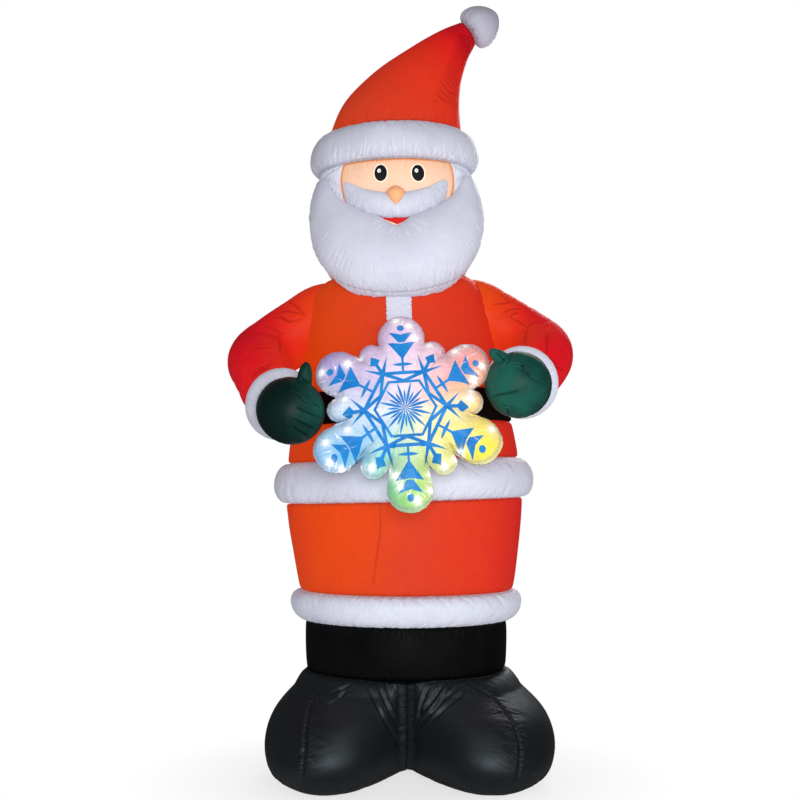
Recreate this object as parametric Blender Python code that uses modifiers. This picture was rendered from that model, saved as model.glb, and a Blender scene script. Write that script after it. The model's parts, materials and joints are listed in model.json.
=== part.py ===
# Inflatable Father Christmas, 3.66 m tall, who holds a lit snowflake in front of his belt.
# Every piece is an air-filled chamber of thin cloth, sewn face to face to the next one.
# Metres, +Z up. The figure faces -Y, so his own left hand is at +X.
# The origin is on the ground, under the middle of the figure's box.

import math

import bmesh
import bpy
from mathutils import Euler, Matrix, Vector

# Gap that two touching pieces keep between them
SEAM_GAP = 0.0003

# Heights of the chambers, from the ground up
BOOT_HEIGHT = 0.49
SHAFT_HEIGHT = 0.23
BOOT_TRIM_HEIGHT = 0.14
TROUSERS_HEIGHT = 0.42
JACKET_TRIM_HEIGHT = 0.19
SKIRT_HEIGHT = 0.17
BELT_HEIGHT = 0.15
JACKET_HEIGHT = 0.555
HEAD_HEIGHT = 0.508
HAT_TRIM_HEIGHT = 0.188
HAT_HEIGHT = 0.503

# Radii of the seams between the chambers
SHAFT_RADIUS = 0.470
BOOT_TRIM_RADIUS = 0.544
TROUSERS_LOW_RADIUS = 0.508
TROUSERS_TOP_RADIUS = 0.566
JACKET_TRIM_RADIUS = 0.621
SKIRT_LOW_RADIUS = 0.550
WAIST_RADIUS = 0.522
BELT_THICKNESS = 0.004
CHEST_RADIUS = 0.500
NECK_RADIUS = 0.330
HEAD_TOP_RADIUS = 0.366
HAT_TRIM_RADIUS = 0.408
HAT_RADIUS = 0.324
HAT_TIP_RADIUS = 0.067
POMPOM_RADIUS = 0.100
POMPOM_LENGTH = 0.166

# The figure above the trousers leans a little to his own right, and sits a little off the boots' axis
LEAN = math.radians(1.6)
WAIST_SHIFT = -0.009

# Boots: reach of the toes, heels and outer sides from the figure's axis
TOE_REACH = 0.74
HEEL_REACH = 0.47
BOOT_SIDE_REACH = 0.647
BOOT_NOTCH = 0.36

# Face pieces
MOUSTACHE_WIDTH = 0.49
MOUSTACHE_PUFF = 0.05
NOSE_WIDTH = 0.078
NOSE_HEIGHT = 0.084
NOSE_PUFF = 0.078
BEARD_PUFF = 0.165

# Strip of white cloth down the jacket's front
STRIP_WIDTH = 0.124
STRIP_THICKNESS = 0.006

# Snowflake: a flat cushion with six large and six small round lobes
SNOWFLAKE_THICKNESS = 0.22
CORE_RADIUS = 0.285
LARGE_LOBE_DISTANCE = 0.335
LARGE_LOBE_RADIUS = 0.104
SMALL_LOBE_DISTANCE = 0.279
SMALL_LOBE_RADIUS = 0.0595
SNOWFLAKE_TILT = math.radians(12)
SNOWFLAKE_ROLL = math.radians(1.9)
SNOWFLAKE_AHEAD = 0.085

# Arms
SLEEVE_RADIUS = 0.150
SHOULDER_RADIUS = 0.156
SHOULDER_DROP = 0.18
ELBOW_REACH = 0.662
CUFF_RADIUS = 0.166
CUFF_LENGTH = 0.09
MITTEN_RADIUS = 0.145
MITTEN_LENGTH = 0.285
THUMB_RADIUS = 0.032
THUMB_LENGTH = 0.125

# Sides of the round pieces
TUBE_SIDES = 32
LIMB_SIDES = 18

# Levels that follow from the heights
SHAFT_LOW = BOOT_HEIGHT
BOOT_TRIM_LOW = SHAFT_LOW + SHAFT_HEIGHT
TROUSERS_LOW = BOOT_TRIM_LOW + BOOT_TRIM_HEIGHT
WAIST_PIVOT = TROUSERS_LOW + TROUSERS_HEIGHT
JACKET_TRIM_LOW = WAIST_PIVOT
SKIRT_LOW = JACKET_TRIM_LOW + JACKET_TRIM_HEIGHT
BELT_LOW = SKIRT_LOW + SKIRT_HEIGHT
JACKET_LOW = BELT_LOW + BELT_HEIGHT
HEAD_LOW = JACKET_LOW + JACKET_HEIGHT
HAT_TRIM_LOW = HEAD_LOW + HEAD_HEIGHT
HAT_LOW = HAT_TRIM_LOW + HAT_TRIM_HEIGHT


def clear_scene():
    for old in list(bpy.data.objects):
        bpy.data.objects.remove(old)


def collection(name):
    made = bpy.data.collections.new(name)
    bpy.context.scene.collection.children.link(made)
    return made


def cloth(name, colour, roughness):
    material = bpy.data.materials.new(name)
    material.use_nodes = True
    shader = material.node_tree.nodes["Principled BSDF"]
    shader.inputs["Base Color"].default_value = (*colour, 1.0)
    shader.inputs["Roughness"].default_value = roughness
    shader.inputs["Metallic"].default_value = 0.0
    return material


def empty(name, location, turn, parent):
    made = bpy.data.objects.new(name, None)
    FIGURE.objects.link(made)
    made.location = location
    made.rotation_euler = turn
    made.parent = parent
    return made


# Shared tools: smooth curves, rings of points and closed skins over them

def curve_point(keys, t):
    """A point at t on the Catmull-Rom curve through the key rows, t counted in keys."""
    last = len(keys) - 1
    i = min(int(t), last - 1)
    f = t - i
    before, start, end, after = keys[max(i - 1, 0)], keys[i], keys[i + 1], keys[min(i + 2, last)]
    point = []
    for a, b, c, d in zip(before, start, end, after):
        point.append(0.5 * (2 * b + (c - a) * f + (2 * a - 5 * b + 4 * c - d) * f**2
                            + (3 * b - a - 3 * c + d) * f**3))
    return point


def smooth_rows(keys, count):
    """count rows, evenly spaced along the curve through the keys, ends included."""
    return [curve_point(keys, (len(keys) - 1) * i / (count - 1)) for i in range(count)]


def ring(centre, radius_x, radius_y, turn, sides):
    """An ellipse of points about centre. turn is the matrix that takes its own XY plane into place."""
    points = []
    for i in range(sides):
        a = math.tau * i / sides
        points.append(centre + turn @ Vector((radius_x * math.cos(a), radius_y * math.sin(a), 0)))
    return points


def place(name, mesh, material, parent, offset=(0, 0, 0), home=None):
    made = bpy.data.objects.new(name, mesh)
    (home or FIGURE).objects.link(made)
    if material:
        mesh.materials.append(material)
    made.parent = parent
    made.location = offset
    mesh.shade_smooth()
    mesh.set_sharp_from_angle(angle=math.radians(50))
    return made


def skin(name, rings, material, parent, offset=(0, 0, 0), home=None):
    """A closed mesh over a row of rings with equal counts, its two ends closed flat."""
    shape = bmesh.new()
    rows = [[shape.verts.new(p) for p in points] for points in rings]
    for low, high in zip(rows, rows[1:]):
        for i in range(len(low)):
            j = (i + 1) % len(low)
            shape.faces.new((low[i], low[j], high[j], high[i]))
    shape.faces.new(rows[0][::-1])
    shape.faces.new(rows[-1])
    bmesh.ops.recalc_face_normals(shape, faces=shape.faces)
    mesh = bpy.data.meshes.new(name)
    shape.to_mesh(mesh)
    shape.free()
    return place(name, mesh, material, parent, offset, home)


def turned(name, profile, material, parent, offset=(0, 0, 0), home=None, sides=TUBE_SIDES):
    """A solid of revolution about Z. The profile runs down its outer side, top to bottom."""
    mesh = bpy.data.meshes.new(name)
    top, bottom = profile[0][1], profile[-1][1]
    points = [(0, 0, top)] + [(r, 0, z) for r, z in profile] + [(0, 0, bottom)]
    mesh.from_pydata(points, [(i, i + 1) for i in range(len(points) - 1)], [])
    made = place(name, mesh, material, parent, offset, home)
    spin = made.modifiers.new("Turn", "SCREW")
    spin.steps = sides
    spin.render_steps = sides
    spin.use_merge_vertices = True
    spin.merge_threshold = 0.0001
    spin.use_smooth_shade = True
    return made


def subtract(piece, cutter):
    cut = piece.modifiers.new("Clear of " + cutter.name, "BOOLEAN")
    cut.operation = "DIFFERENCE"
    cut.object = cutter


def hide(helper):
    helper.hide_render = True
    helper.display_type = "WIRE"
    return helper


# Profiles of the round chambers, as (radius, height) rows from top to bottom

def puffed_profile(top_radius, low_radius, puff, low, high, rows):
    """A chamber between two seams whose side swells by puff halfway, as a half ellipse."""
    profile = []
    for i in range(rows + 1):
        a = math.pi * i / rows
        z = (low + high) / 2 + (high - low) / 2 * math.cos(a)
        share = (high - z) / (high - low)
        profile.append((top_radius + (low_radius - top_radius) * share + puff * math.sin(a), z))
    return profile


def jacket_keys():
    """(radius, height) of the jacket from the belt up over the shoulders to the neck."""
    shoulder = NECK_RADIUS + 0.055
    h = JACKET_HEIGHT
    return [(CHEST_RADIUS, 0), (CHEST_RADIUS - 0.022, 0.25 * h), (CHEST_RADIUS - 0.046, 0.56 * h),
            (CHEST_RADIUS - 0.072, 0.79 * h), (shoulder, 0.94 * h), (NECK_RADIUS, h)]


def head_keys():
    """(radius, height) of the head from the neck up to the hat's trim."""
    h = HEAD_HEIGHT
    return [(NECK_RADIUS - 0.01, 0), (HEAD_TOP_RADIUS - 0.004, 0.2 * h), (HEAD_TOP_RADIUS + 0.008, 0.5 * h),
            (HEAD_TOP_RADIUS + 0.006, 0.8 * h), (HEAD_TOP_RADIUS, h)]


def radius_at(keys, low, z):
    """Radius of a key profile at height z, by halving along its curve."""
    near, far = 0.0, len(keys) - 1.0
    for _ in range(30):
        middle = (near + far) / 2
        if low + curve_point(keys, middle)[1] < z:
            near = middle
        else:
            far = middle
    return curve_point(keys, near)[0]


def key_profile(keys, low, rows, grow=0.0):
    """The (radius, height) rows of a key profile, top to bottom, made larger by grow."""
    profile = []
    for row, (radius, height) in enumerate(reversed(smooth_rows(keys, rows))):
        rise = grow if row == 0 else -grow if row == rows - 1 else 0.0
        profile.append((radius + grow, low + height + rise))
    return profile


def jacket_front(x, z):
    return -math.sqrt(radius_at(jacket_keys(), JACKET_LOW, z) ** 2 - x**2)


def face_front(x, z):
    return -math.sqrt(max(radius_at(head_keys(), HEAD_LOW, z) ** 2 - x**2, 0.0))


# Lower body: boots, shaft, trim and trousers, upright on the ground

def boot(name, side, reach):
    """One boot. Half rings in plan, from the toe end of the middle seam round the outside to the heel."""
    top = [(SHAFT_RADIUS * math.sin(a), -SHAFT_RADIUS * math.cos(a))
           for a in [math.pi * i / 6 for i in range(7)]]
    w = BOOT_SIDE_REACH * reach
    toe, heel, notch = TOE_REACH, HEEL_REACH, BOOT_NOTCH
    levels = [
        (0.000, [(0, 0.05 * notch), (0.36 * w, -0.61 * toe), (0.65 * w, -0.69 * toe), (0.81 * w, -0.43 * toe),
                 (0.80 * w, -0.04), (0.58 * w, 0.56 * heel), (0, 0.71 * heel)]),
        (0.055, [(0, -0.45 * notch), (0.35 * w, -0.86 * toe), (0.71 * w, -0.92 * toe), (0.95 * w, -0.55 * toe),
                 (0.94 * w, -0.03), (0.67 * w, 0.72 * heel), (0, 0.90 * heel)]),
        (0.160, [(0, -notch), (0.33 * w, -0.97 * toe), (0.73 * w, -toe), (w, -0.59 * toe),
                 (w, -0.02), (0.71 * w, 0.81 * heel), (0, heel)]),
        (0.270, [(0, -1.12 * notch), (0.33 * w, -0.92 * toe), (0.69 * w, -0.93 * toe), (0.98 * w, -0.55 * toe),
                 (0.98 * w, -0.02), (0.70 * w, 0.83 * heel), (0, 1.01 * heel)]),
        (0.370, [(0, -1.24 * notch), (0.32 * w, -0.82 * toe), (0.63 * w, -0.78 * toe), (0.88 * w, -0.47 * toe),
                 (0.90 * w, -0.01), (0.65 * w, 0.83 * heel), (0, 1.01 * heel)]),
        (0.490, top),
    ]
    rings = []
    flat_keys = []
    for height, outline in levels:
        flat_keys.append([height / 0.49 * BOOT_HEIGHT] + [value for point in outline for value in point])
    for row in smooth_rows(flat_keys, 11):
        z = min(max(row[0], 0.0), BOOT_HEIGHT - SEAM_GAP)
        outline = [(row[i], row[i + 1]) for i in range(1, len(row), 2)]
        points = [Vector((side * max(x, 0.0) + side * SEAM_GAP, y, z)) for x, y in smooth_rows(outline, 19)]
        rings.append(points)
    return skin(name, rings, BLACK, LOWER_BODY)


def trousers():
    """The trousers' top seam is tilted by the lean of what stands on it."""
    rings = []
    for i in range(6):
        share = i / 5
        low = TROUSERS_LOW + SEAM_GAP
        high = WAIST_PIVOT - SEAM_GAP
        radius = TROUSERS_LOW_RADIUS + (TROUSERS_TOP_RADIUS - TROUSERS_LOW_RADIUS) * share
        radius += 0.006 * math.sin(math.pi * share)
        centre = Vector((WAIST_SHIFT * share, 0, low + (high - low) * share))
        points = ring(centre, radius, radius, Matrix.Identity(3), TUBE_SIDES)
        for p in points:
            p.z += (p.x - centre.x) * math.tan(LEAN) * share
        rings.append(points)
    return skin("trousers", rings, RED, LOWER_BODY)


def lower_body():
    boot("left_boot", 1, 1.02)
    boot("right_boot", -1, 0.975)
    shaft = puffed_profile(SHAFT_RADIUS + 0.006, SHAFT_RADIUS, 0.004, SHAFT_LOW, BOOT_TRIM_LOW - SEAM_GAP, 3)
    turned("boot_shaft", shaft, BLACK, LOWER_BODY)
    rim = BOOT_TRIM_RADIUS - (TROUSERS_LOW_RADIUS + SHAFT_RADIUS) / 2
    trim = puffed_profile(TROUSERS_LOW_RADIUS, SHAFT_RADIUS + 0.01, rim, BOOT_TRIM_LOW, TROUSERS_LOW, 7)
    turned("boot_trim", trim, WHITE, LOWER_BODY)
    trousers()


# Upper body: everything above the trousers, leaning as one

def jacket_trim_profile(grow=0.0):
    rim = JACKET_TRIM_RADIUS - (TROUSERS_TOP_RADIUS + SKIRT_LOW_RADIUS) / 2
    low, high = JACKET_TRIM_LOW, SKIRT_LOW - SEAM_GAP
    return puffed_profile(SKIRT_LOW_RADIUS + grow, TROUSERS_TOP_RADIUS + grow, rim, low - grow, high + grow, 7)


def skirt_profile(grow=0.0):
    low, high = SKIRT_LOW - grow, BELT_LOW - SEAM_GAP + grow
    return puffed_profile(WAIST_RADIUS + grow, SKIRT_LOW_RADIUS + grow, 0.004, low, high, 3)


def belt_profile(grow=0.0):
    low, high = BELT_LOW - grow, JACKET_LOW - SEAM_GAP + grow
    thick = BELT_THICKNESS + grow
    return puffed_profile(CHEST_RADIUS + thick, WAIST_RADIUS + thick, 0.003, low, high, 3)


def jacket_profile(grow=0.0):
    keys = jacket_keys()
    keys[-1] = (keys[-1][0], keys[-1][1] - SEAM_GAP)
    return key_profile(keys, JACKET_LOW, 9, grow)


def head_profile(grow=0.0):
    keys = head_keys()
    keys[-1] = (keys[-1][0], keys[-1][1] - SEAM_GAP)
    return key_profile(keys, HEAD_LOW, 8, grow)


def front_strip(name, material, grow=0.0, home=None):
    """A thin sheet that lies on the jacket's round front, from the belt up behind the beard."""
    columns = [(STRIP_WIDTH + 2 * grow) * (i / 2 - 0.5) for i in range(3)]
    low = JACKET_LOW + 0.02 * JACKET_HEIGHT - grow
    high = JACKET_LOW + 0.88 * JACKET_HEIGHT + grow
    rings = []
    for i in range(10):
        z = low + (high - low) * i / 9
        outer = [Vector((x, jacket_front(x, z) - SEAM_GAP - STRIP_THICKNESS - grow, z)) for x in columns]
        inner = [Vector((x, jacket_front(x, z) + 4 * STRIP_THICKNESS, z)) for x in reversed(columns)]
        rings.append(outer + inner)
    made = skin(name, rings, material, UPPER_BODY, BELOW_PIVOT, home)
    subtract(made, JACKET_CUTTER)
    return made


def hat_rings():
    """The hat bends over to his own left: share of height, sideways shift, radius and tilt of each ring."""
    h, r, tip = HAT_HEIGHT, HAT_RADIUS, HAT_TIP_RADIUS
    keys = [(0.0, 0.004, r, 0), (0.221 * h, 0.030, 0.906 * r, 6.5), (0.394 * h, 0.076, 0.775 * r, 10),
            (0.563 * h, 0.130, 0.642 * r, 15), (0.689 * h, 0.195, 0.497 * r, 22), (0.830 * h, 0.265, 0.365 * r, 30),
            (0.934 * h, 0.325, 0.144 * r + 0.62 * tip, 39), (h, 0.380, tip, 57)]
    return smooth_rows(keys, 9)


def hat():
    rings = []
    for height, shift, radius, tilt in hat_rings():
        centre = Vector((shift, 0, HAT_LOW + height))
        turn = Matrix.Rotation(math.radians(tilt), 3, "Y")
        rings.append(ring(centre, radius, radius, turn, TUBE_SIDES))
    return skin("hat", rings, RED, UPPER_BODY, BELOW_PIVOT)


def pompom():
    """A ball sewn to the hat's tip by a flat seam, turned about the tip's own axis."""
    height, shift, radius, tilt = hat_rings()[-1]
    profile = []
    for i in range(9):
        a = math.pi * i / 8
        z = POMPOM_LENGTH * (1 + math.cos(a)) / 2
        swell = (POMPOM_RADIUS - radius / 2) * math.sin(a)
        profile.append((radius * (1 - math.cos(a)) / 2 + swell, z))
    made = turned("pompom", profile[1:], WHITE, UPPER_BODY, sides=LIMB_SIDES)
    turn = Euler((0, math.radians(tilt), 0))
    axis = turn.to_matrix() @ Vector((0, 0, SEAM_GAP))
    made.location = Vector((shift, 0, HAT_LOW + height - WAIST_PIVOT)) + axis
    made.rotation_euler = turn
    return made


def beard_section(degrees):
    """One closed loop across the beard, at an angle round the mouth from straight down, seen from the front."""
    share = abs(degrees) / BEARD_END
    inner_keys = [(0.120,), (0.112,), (0.117,), (0.150,), (0.230,), (0.345,)]
    outer_keys = [(0.475,), (0.484,), (0.476,), (0.445,), (0.414,), (0.406,)]
    inner = curve_point(inner_keys, share * 5)[0] * BEARD_SCALE
    outer = curve_point(outer_keys, share * 5)[0] * BEARD_SCALE
    a = math.radians(degrees)
    across, up = math.sin(a), -math.cos(a)
    edge_y = face_front(inner * across, BEARD_CENTRE + inner * up)
    rim_y = -(0.13 + 0.27 * math.cos(a)) * BEARD_SCALE
    puff = BEARD_PUFF * (0.45 + 0.55 * math.cos(a / 2) ** 2)
    points = []
    steps = 7
    for i in range(steps + 1):
        b = math.pi * i / steps
        reach = inner + (outer - inner) * (1 - math.cos(b)) / 2
        y = edge_y + 0.02 + (rim_y - edge_y - 0.02) * (1 - math.cos(b)) / 2 - puff * math.sin(b) ** 0.85
        points.append(Vector((reach * across, y, BEARD_CENTRE + reach * up)))
    deep = 0.5 * inner + 0.3 * outer
    points.append(Vector((outer * 0.8 * across, rim_y + 0.07, BEARD_CENTRE + outer * 0.8 * up)))
    points.append(Vector((deep * across, -0.14 * HEAD_TOP_RADIUS, BEARD_CENTRE + deep * up)))
    return points


def beard():
    count = 19
    rings = [beard_section(BEARD_END * (2 * i / (count - 1) - 1)) for i in range(count)]
    made = skin("beard", rings, WHITE, UPPER_BODY, BELOW_PIVOT)
    subtract(made, HEAD_CUTTER)
    subtract(made, JACKET_CUTTER)
    subtract(made, STRIP_CUTTER)
    subtract(made, MOUSTACHE_CUTTER)
    return made


def moustache_section(x, grow=0.0):
    """One closed loop across the moustache at x: its front swells, its back lies on the face."""
    share = abs(x) / (MOUSTACHE_WIDTH / 2)
    rise = (0.0, 0.012, 0.043, 0.130)
    half = (0.057, 0.056, 0.052, 0.014)
    middle = MOUSTACHE_CENTRE + curve_point([(v,) for v in rise], share * 3)[0]
    half_height = curve_point([(v,) for v in half], share * 3)[0] + grow
    puff = MOUSTACHE_PUFF * (1 - 0.85 * share**2) + grow
    front, back = [], []
    steps = 6
    for i in range(steps + 1):
        a = math.pi * i / steps
        z = middle + half_height * math.cos(a)
        y = face_front(x, z)
        front.append(Vector((x, y - puff * math.sin(a) ** 0.8, z)))
        back.append(Vector((x, y + 0.02, z)))
    return front + back[-2:0:-1]


def moustache(name, material, grow=0.0, home=None):
    count = 15
    half_width = MOUSTACHE_WIDTH / 2 + grow
    rings = []
    for i in range(count):
        x = half_width * (2 * i / (count - 1) - 1)
        rings.append(moustache_section(x, grow))
    made = skin(name, rings, material, UPPER_BODY, BELOW_PIVOT, home)
    subtract(made, HEAD_CUTTER)
    return made


def nose():
    """A small kite-shaped puff that hangs over the middle of the moustache."""
    low = MOUSTACHE_CENTRE - 0.004
    half = NOSE_WIDTH / 2
    widths = (0.10, 0.42, 0.78, 1.0, 0.97, 0.70, 0.22)
    rings = []
    for i, width in enumerate(widths):
        z = low + NOSE_HEIGHT * i / (len(widths) - 1)
        face = face_front(0, z)
        front = NOSE_PUFF * (0.55 + 0.45 * width)
        points = []
        for j in range(12):
            a = math.tau * j / 12
            x = half * width * math.cos(a)
            y = face - front * 0.4 + (front * 0.6) * math.sin(a)
            points.append(Vector((x, min(y, face_front(x, z) - 3 * SEAM_GAP), z)))
        rings.append(points)
    made = skin("nose", rings, SKIN, UPPER_BODY, BELOW_PIVOT)
    subtract(made, MOUSTACHE_CUTTER)
    return made


# Snowflake and arms

def snowflake_reach(a):
    """Distance from the snowflake's centre to its edge at angle a, the largest of the core and the lobes."""
    reach = CORE_RADIUS
    for i in range(12):
        large = i % 2 == 1
        direction = math.radians(30 * i)
        distance = LARGE_LOBE_DISTANCE if large else SMALL_LOBE_DISTANCE
        radius = LARGE_LOBE_RADIUS if large else SMALL_LOBE_RADIUS
        # The lower lobes hang further out than the upper ones
        distance *= 1 - (0.092 if large else 0.075) * math.sin(direction)
        off = distance * math.sin(a - direction)
        if abs(off) < radius and math.cos(a - direction) > 0:
            reach = max(reach, distance * math.cos(a - direction) + math.sqrt(radius**2 - off**2))
    return reach


def snowflake(name, material, grow=0.0, home=None):
    """Front and back grids over the lobed outline, which meet at its rim."""
    sides = 60
    shares = (0.5, 0.78, 0.93, 1.0)
    shape = bmesh.new()
    half = SNOWFLAKE_THICKNESS / 2 + grow
    grids = []
    for face in (-1, 1):
        rows = []
        for share in shares:
            row = []
            for i in range(sides):
                a = math.tau * i / sides
                reach = (snowflake_reach(a) + grow) * share
                y = face * half * math.sqrt(1 - share**3)
                row.append(shape.verts.new((reach * math.cos(a), y, reach * math.sin(a))))
            rows.append(row)
        grids.append((shape.verts.new((0, face * half, 0)), rows))
    front_rim, back_rim = grids[0][1].pop(), grids[1][1].pop()
    for v in back_rim:
        shape.verts.remove(v)
    for middle, rows in grids:
        rows = rows + [front_rim]
        for i in range(sides):
            j = (i + 1) % sides
            shape.faces.new((middle, rows[0][i], rows[0][j]))
            for low, high in zip(rows, rows[1:]):
                shape.faces.new((low[i], high[i], high[j], low[j]))
    bmesh.ops.recalc_face_normals(shape, faces=shape.faces)
    mesh = bpy.data.meshes.new(name)
    shape.to_mesh(mesh)
    shape.free()
    made = place(name, mesh, material, UPPER_BODY, home=home)
    made.location = SNOWFLAKE_CENTRE - Vector((0, 0, WAIST_PIVOT))
    made.rotation_euler = SNOWFLAKE_TURN
    return made


def tube_rings(points, radii, sides):
    """Rings square to the path through the points, turned as little as possible from one to the next."""
    rings = []
    across = Vector((0, 0, 1))
    for i, point in enumerate(points):
        along = (points[min(i + 1, len(points) - 1)] - points[max(i - 1, 0)]).normalized()
        across = (across - across.dot(along) * along).normalized()
        other = along.cross(across)
        turn = Matrix((across, other, along)).transposed()
        rings.append(ring(point, radii[i], radii[i], turn, sides))
    return rings


def along_hand(hand, distance):
    """A point on the hand's axis, at a distance from the middle of the mitten towards its tip."""
    return hand["middle"] + hand["direction"] * distance


def sleeve(hand):
    """From inside the shoulder out to the elbow and forward to the cuff."""
    side = hand["side"]
    wrist = along_hand(hand, -0.5 * MITTEN_LENGTH - CUFF_LENGTH - SEAM_GAP)
    before_wrist = wrist - hand["direction"] * 0.07
    shoulder = HEAD_LOW - SHOULDER_DROP
    keys = [
        (side * 0.30 * ELBOW_REACH, 0.0, shoulder + 0.04, 0.77 * SHOULDER_RADIUS),
        (side * 0.52 * ELBOW_REACH, 0.0, shoulder + 0.015, SHOULDER_RADIUS),
        (side * 0.71 * ELBOW_REACH, -0.01, shoulder - 0.055, SHOULDER_RADIUS),
        (side * 0.90 * ELBOW_REACH, -0.05, shoulder - 0.135, SLEEVE_RADIUS),
        (side * ELBOW_REACH, -0.14, shoulder - 0.205, SLEEVE_RADIUS),
        (side * 0.96 * ELBOW_REACH, -0.27, shoulder - 0.275, SLEEVE_RADIUS - 0.008),
        (*before_wrist, SLEEVE_RADIUS - 0.016),
        (*wrist, SLEEVE_RADIUS - 0.03),
    ]
    rows = smooth_rows(keys, 11)
    points = [Vector(row[:3]) for row in rows]
    rings = tube_rings(points, [row[3] for row in rows], LIMB_SIDES)
    turn = hand["direction"].to_track_quat("Z", "Y").to_matrix()
    flat = [p - (p - wrist).dot(hand["direction"]) * hand["direction"] for p in rings[-1]]
    rings[-1] = flat
    made = skin(hand["name"] + "_sleeve", rings, RED, UPPER_BODY, BELOW_PIVOT)
    subtract(made, JACKET_CUTTER)
    return made


def cuff(hand):
    """A rounded disc of white cloth between the sleeve and the mitten."""
    puff = CUFF_RADIUS - 0.115
    profile = puffed_profile(0.115, 0.115, puff, 0, CUFF_LENGTH - SEAM_GAP, 6)
    made = turned(hand["name"] + "_cuff", profile, WHITE, UPPER_BODY, sides=LIMB_SIDES)
    made.location = along_hand(hand, -0.5 * MITTEN_LENGTH - CUFF_LENGTH) - Vector((0, 0, WAIST_PIVOT))
    made.rotation_euler = hand["direction"].to_track_quat("Z", "Y").to_euler()
    return made


def thumb(hand):
    """The thumb rises from inside the palm, and is joined to it."""
    start = hand["middle"] + hand["thumb_root"] * MITTEN_RADIUS
    shape = [(0, 1.0), (0.35, 1.05), (0.65, 0.92), (0.88, 0.60), (1.0, 0.18)]
    points = [start + hand["thumb"] * THUMB_LENGTH * share for share, _ in shape]
    rings = tube_rings(points, [THUMB_RADIUS * width for _, width in shape], 10)
    return hide(skin(hand["name"] + "_thumb", rings, None, UPPER_BODY, BELOW_PIVOT, CUTTERS))


def mitten(hand):
    """A round mitten that presses against the snowflake's edge."""
    shape = [(0.0, 0.76), (0.10, 0.90), (0.24, 0.98), (0.42, 1.0), (0.60, 0.97), (0.76, 0.85),
             (0.88, 0.66), (0.96, 0.42), (1.0, 0.14)]
    start = along_hand(hand, -0.5 * MITTEN_LENGTH)
    points = [start + hand["direction"] * MITTEN_LENGTH * share for share, _ in shape]
    rings = tube_rings(points, [MITTEN_RADIUS * width for _, width in shape], LIMB_SIDES)
    made = skin(hand["name"] + "_mitten", rings, GREEN, UPPER_BODY, BELOW_PIVOT)
    join = made.modifiers.new("Thumb", "BOOLEAN")
    join.operation = "UNION"
    join.object = thumb(hand)
    subtract(made, SNOWFLAKE_CUTTER)
    return made


def grip(side, rise, direction, thumb_root, thumb_direction):
    """Where a hand holds the snowflake: beside a small lobe, a little behind its middle plane."""
    out = SMALL_LOBE_DISTANCE + SMALL_LOBE_RADIUS + MITTEN_RADIUS + 0.006
    middle = SNOWFLAKE_CENTRE + Vector((side * out, 0.035, rise))
    return {
        "name": "left" if side > 0 else "right",
        "side": side,
        "middle": middle,
        "direction": Vector(direction).normalized(),
        "thumb_root": Vector(thumb_root),
        "thumb": Vector(thumb_direction).normalized(),
    }


def upper_body():
    jacket_trim = turned("jacket_trim", jacket_trim_profile(), WHITE, UPPER_BODY, BELOW_PIVOT)
    turned("jacket_skirt", skirt_profile(), RED, UPPER_BODY, BELOW_PIVOT)
    turned("belt", belt_profile(), BLACK, UPPER_BODY, BELOW_PIVOT)
    turned("jacket", jacket_profile(), RED, UPPER_BODY, BELOW_PIVOT)
    front_strip("front_strip", WHITE)
    turned("head", head_profile(), WHITE, UPPER_BODY, BELOW_PIVOT)
    beard()
    moustache("moustache", WHITE)
    nose()
    rim = HAT_TRIM_RADIUS - (HAT_RADIUS + HEAD_TOP_RADIUS) / 2
    trim = puffed_profile(HAT_RADIUS, HEAD_TOP_RADIUS, rim, HAT_TRIM_LOW, HAT_LOW - SEAM_GAP, 7)
    turned("hat_trim", trim, WHITE, UPPER_BODY, BELOW_PIVOT, sides=32)
    hat()
    pompom()
    flake = snowflake("snowflake", FILM)
    for cutter in BODY_CUTTERS:
        subtract(flake, cutter)
    for hand in HANDS:
        sleeve(hand)
        cuff(hand)
        mitten(hand)
    return jacket_trim


def centre_over_origin():
    """Moves the whole figure so that the middle of its box stands over the origin."""
    bpy.context.view_layer.update()
    graph = bpy.context.evaluated_depsgraph_get()
    corners = []
    for piece in FIGURE.objects:
        if piece.type == "MESH":
            ready = piece.evaluated_get(graph)
            corners += [ready.matrix_world @ v.co for v in ready.data.vertices]
    for axis in (0, 1):
        values = [c[axis] for c in corners]
        STAND.location[axis] -= (min(values) + max(values)) / 2
    STAND.location.z -= min(c.z for c in corners)


clear_scene()
FIGURE = collection("inflatable_father_christmas")
CUTTERS = collection("cutters")

RED = cloth("red_nylon", (0.78, 0.06, 0.03), 0.5)
WHITE = cloth("white_nylon", (0.80, 0.80, 0.86), 0.5)
BLACK = cloth("black_nylon", (0.012, 0.012, 0.014), 0.45)
GREEN = cloth("green_nylon", (0.01, 0.13, 0.08), 0.45)
SKIN = cloth("skin_nylon", (0.90, 0.55, 0.36), 0.5)
FILM = cloth("snowflake_film", (0.70, 0.82, 0.90), 0.3)

STAND = empty("stand", (0, 0, 0), (0, 0, 0), None)
LOWER_BODY = empty("lower_body", (0, 0, 0), (0, 0, 0), STAND)
UPPER_BODY = empty("upper_body", (WAIST_SHIFT, 0, WAIST_PIVOT), (0, -LEAN, 0), STAND)
BELOW_PIVOT = (0, 0, -WAIST_PIVOT)

# The beard's loops are drawn round a point between nose and mouth
BEARD_END = 112
BEARD_CENTRE = HEAD_LOW + 0.63 * HEAD_HEIGHT
BEARD_SCALE = HEAD_TOP_RADIUS / 0.362
MOUSTACHE_CENTRE = HEAD_LOW + 0.57 * HEAD_HEIGHT

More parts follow.
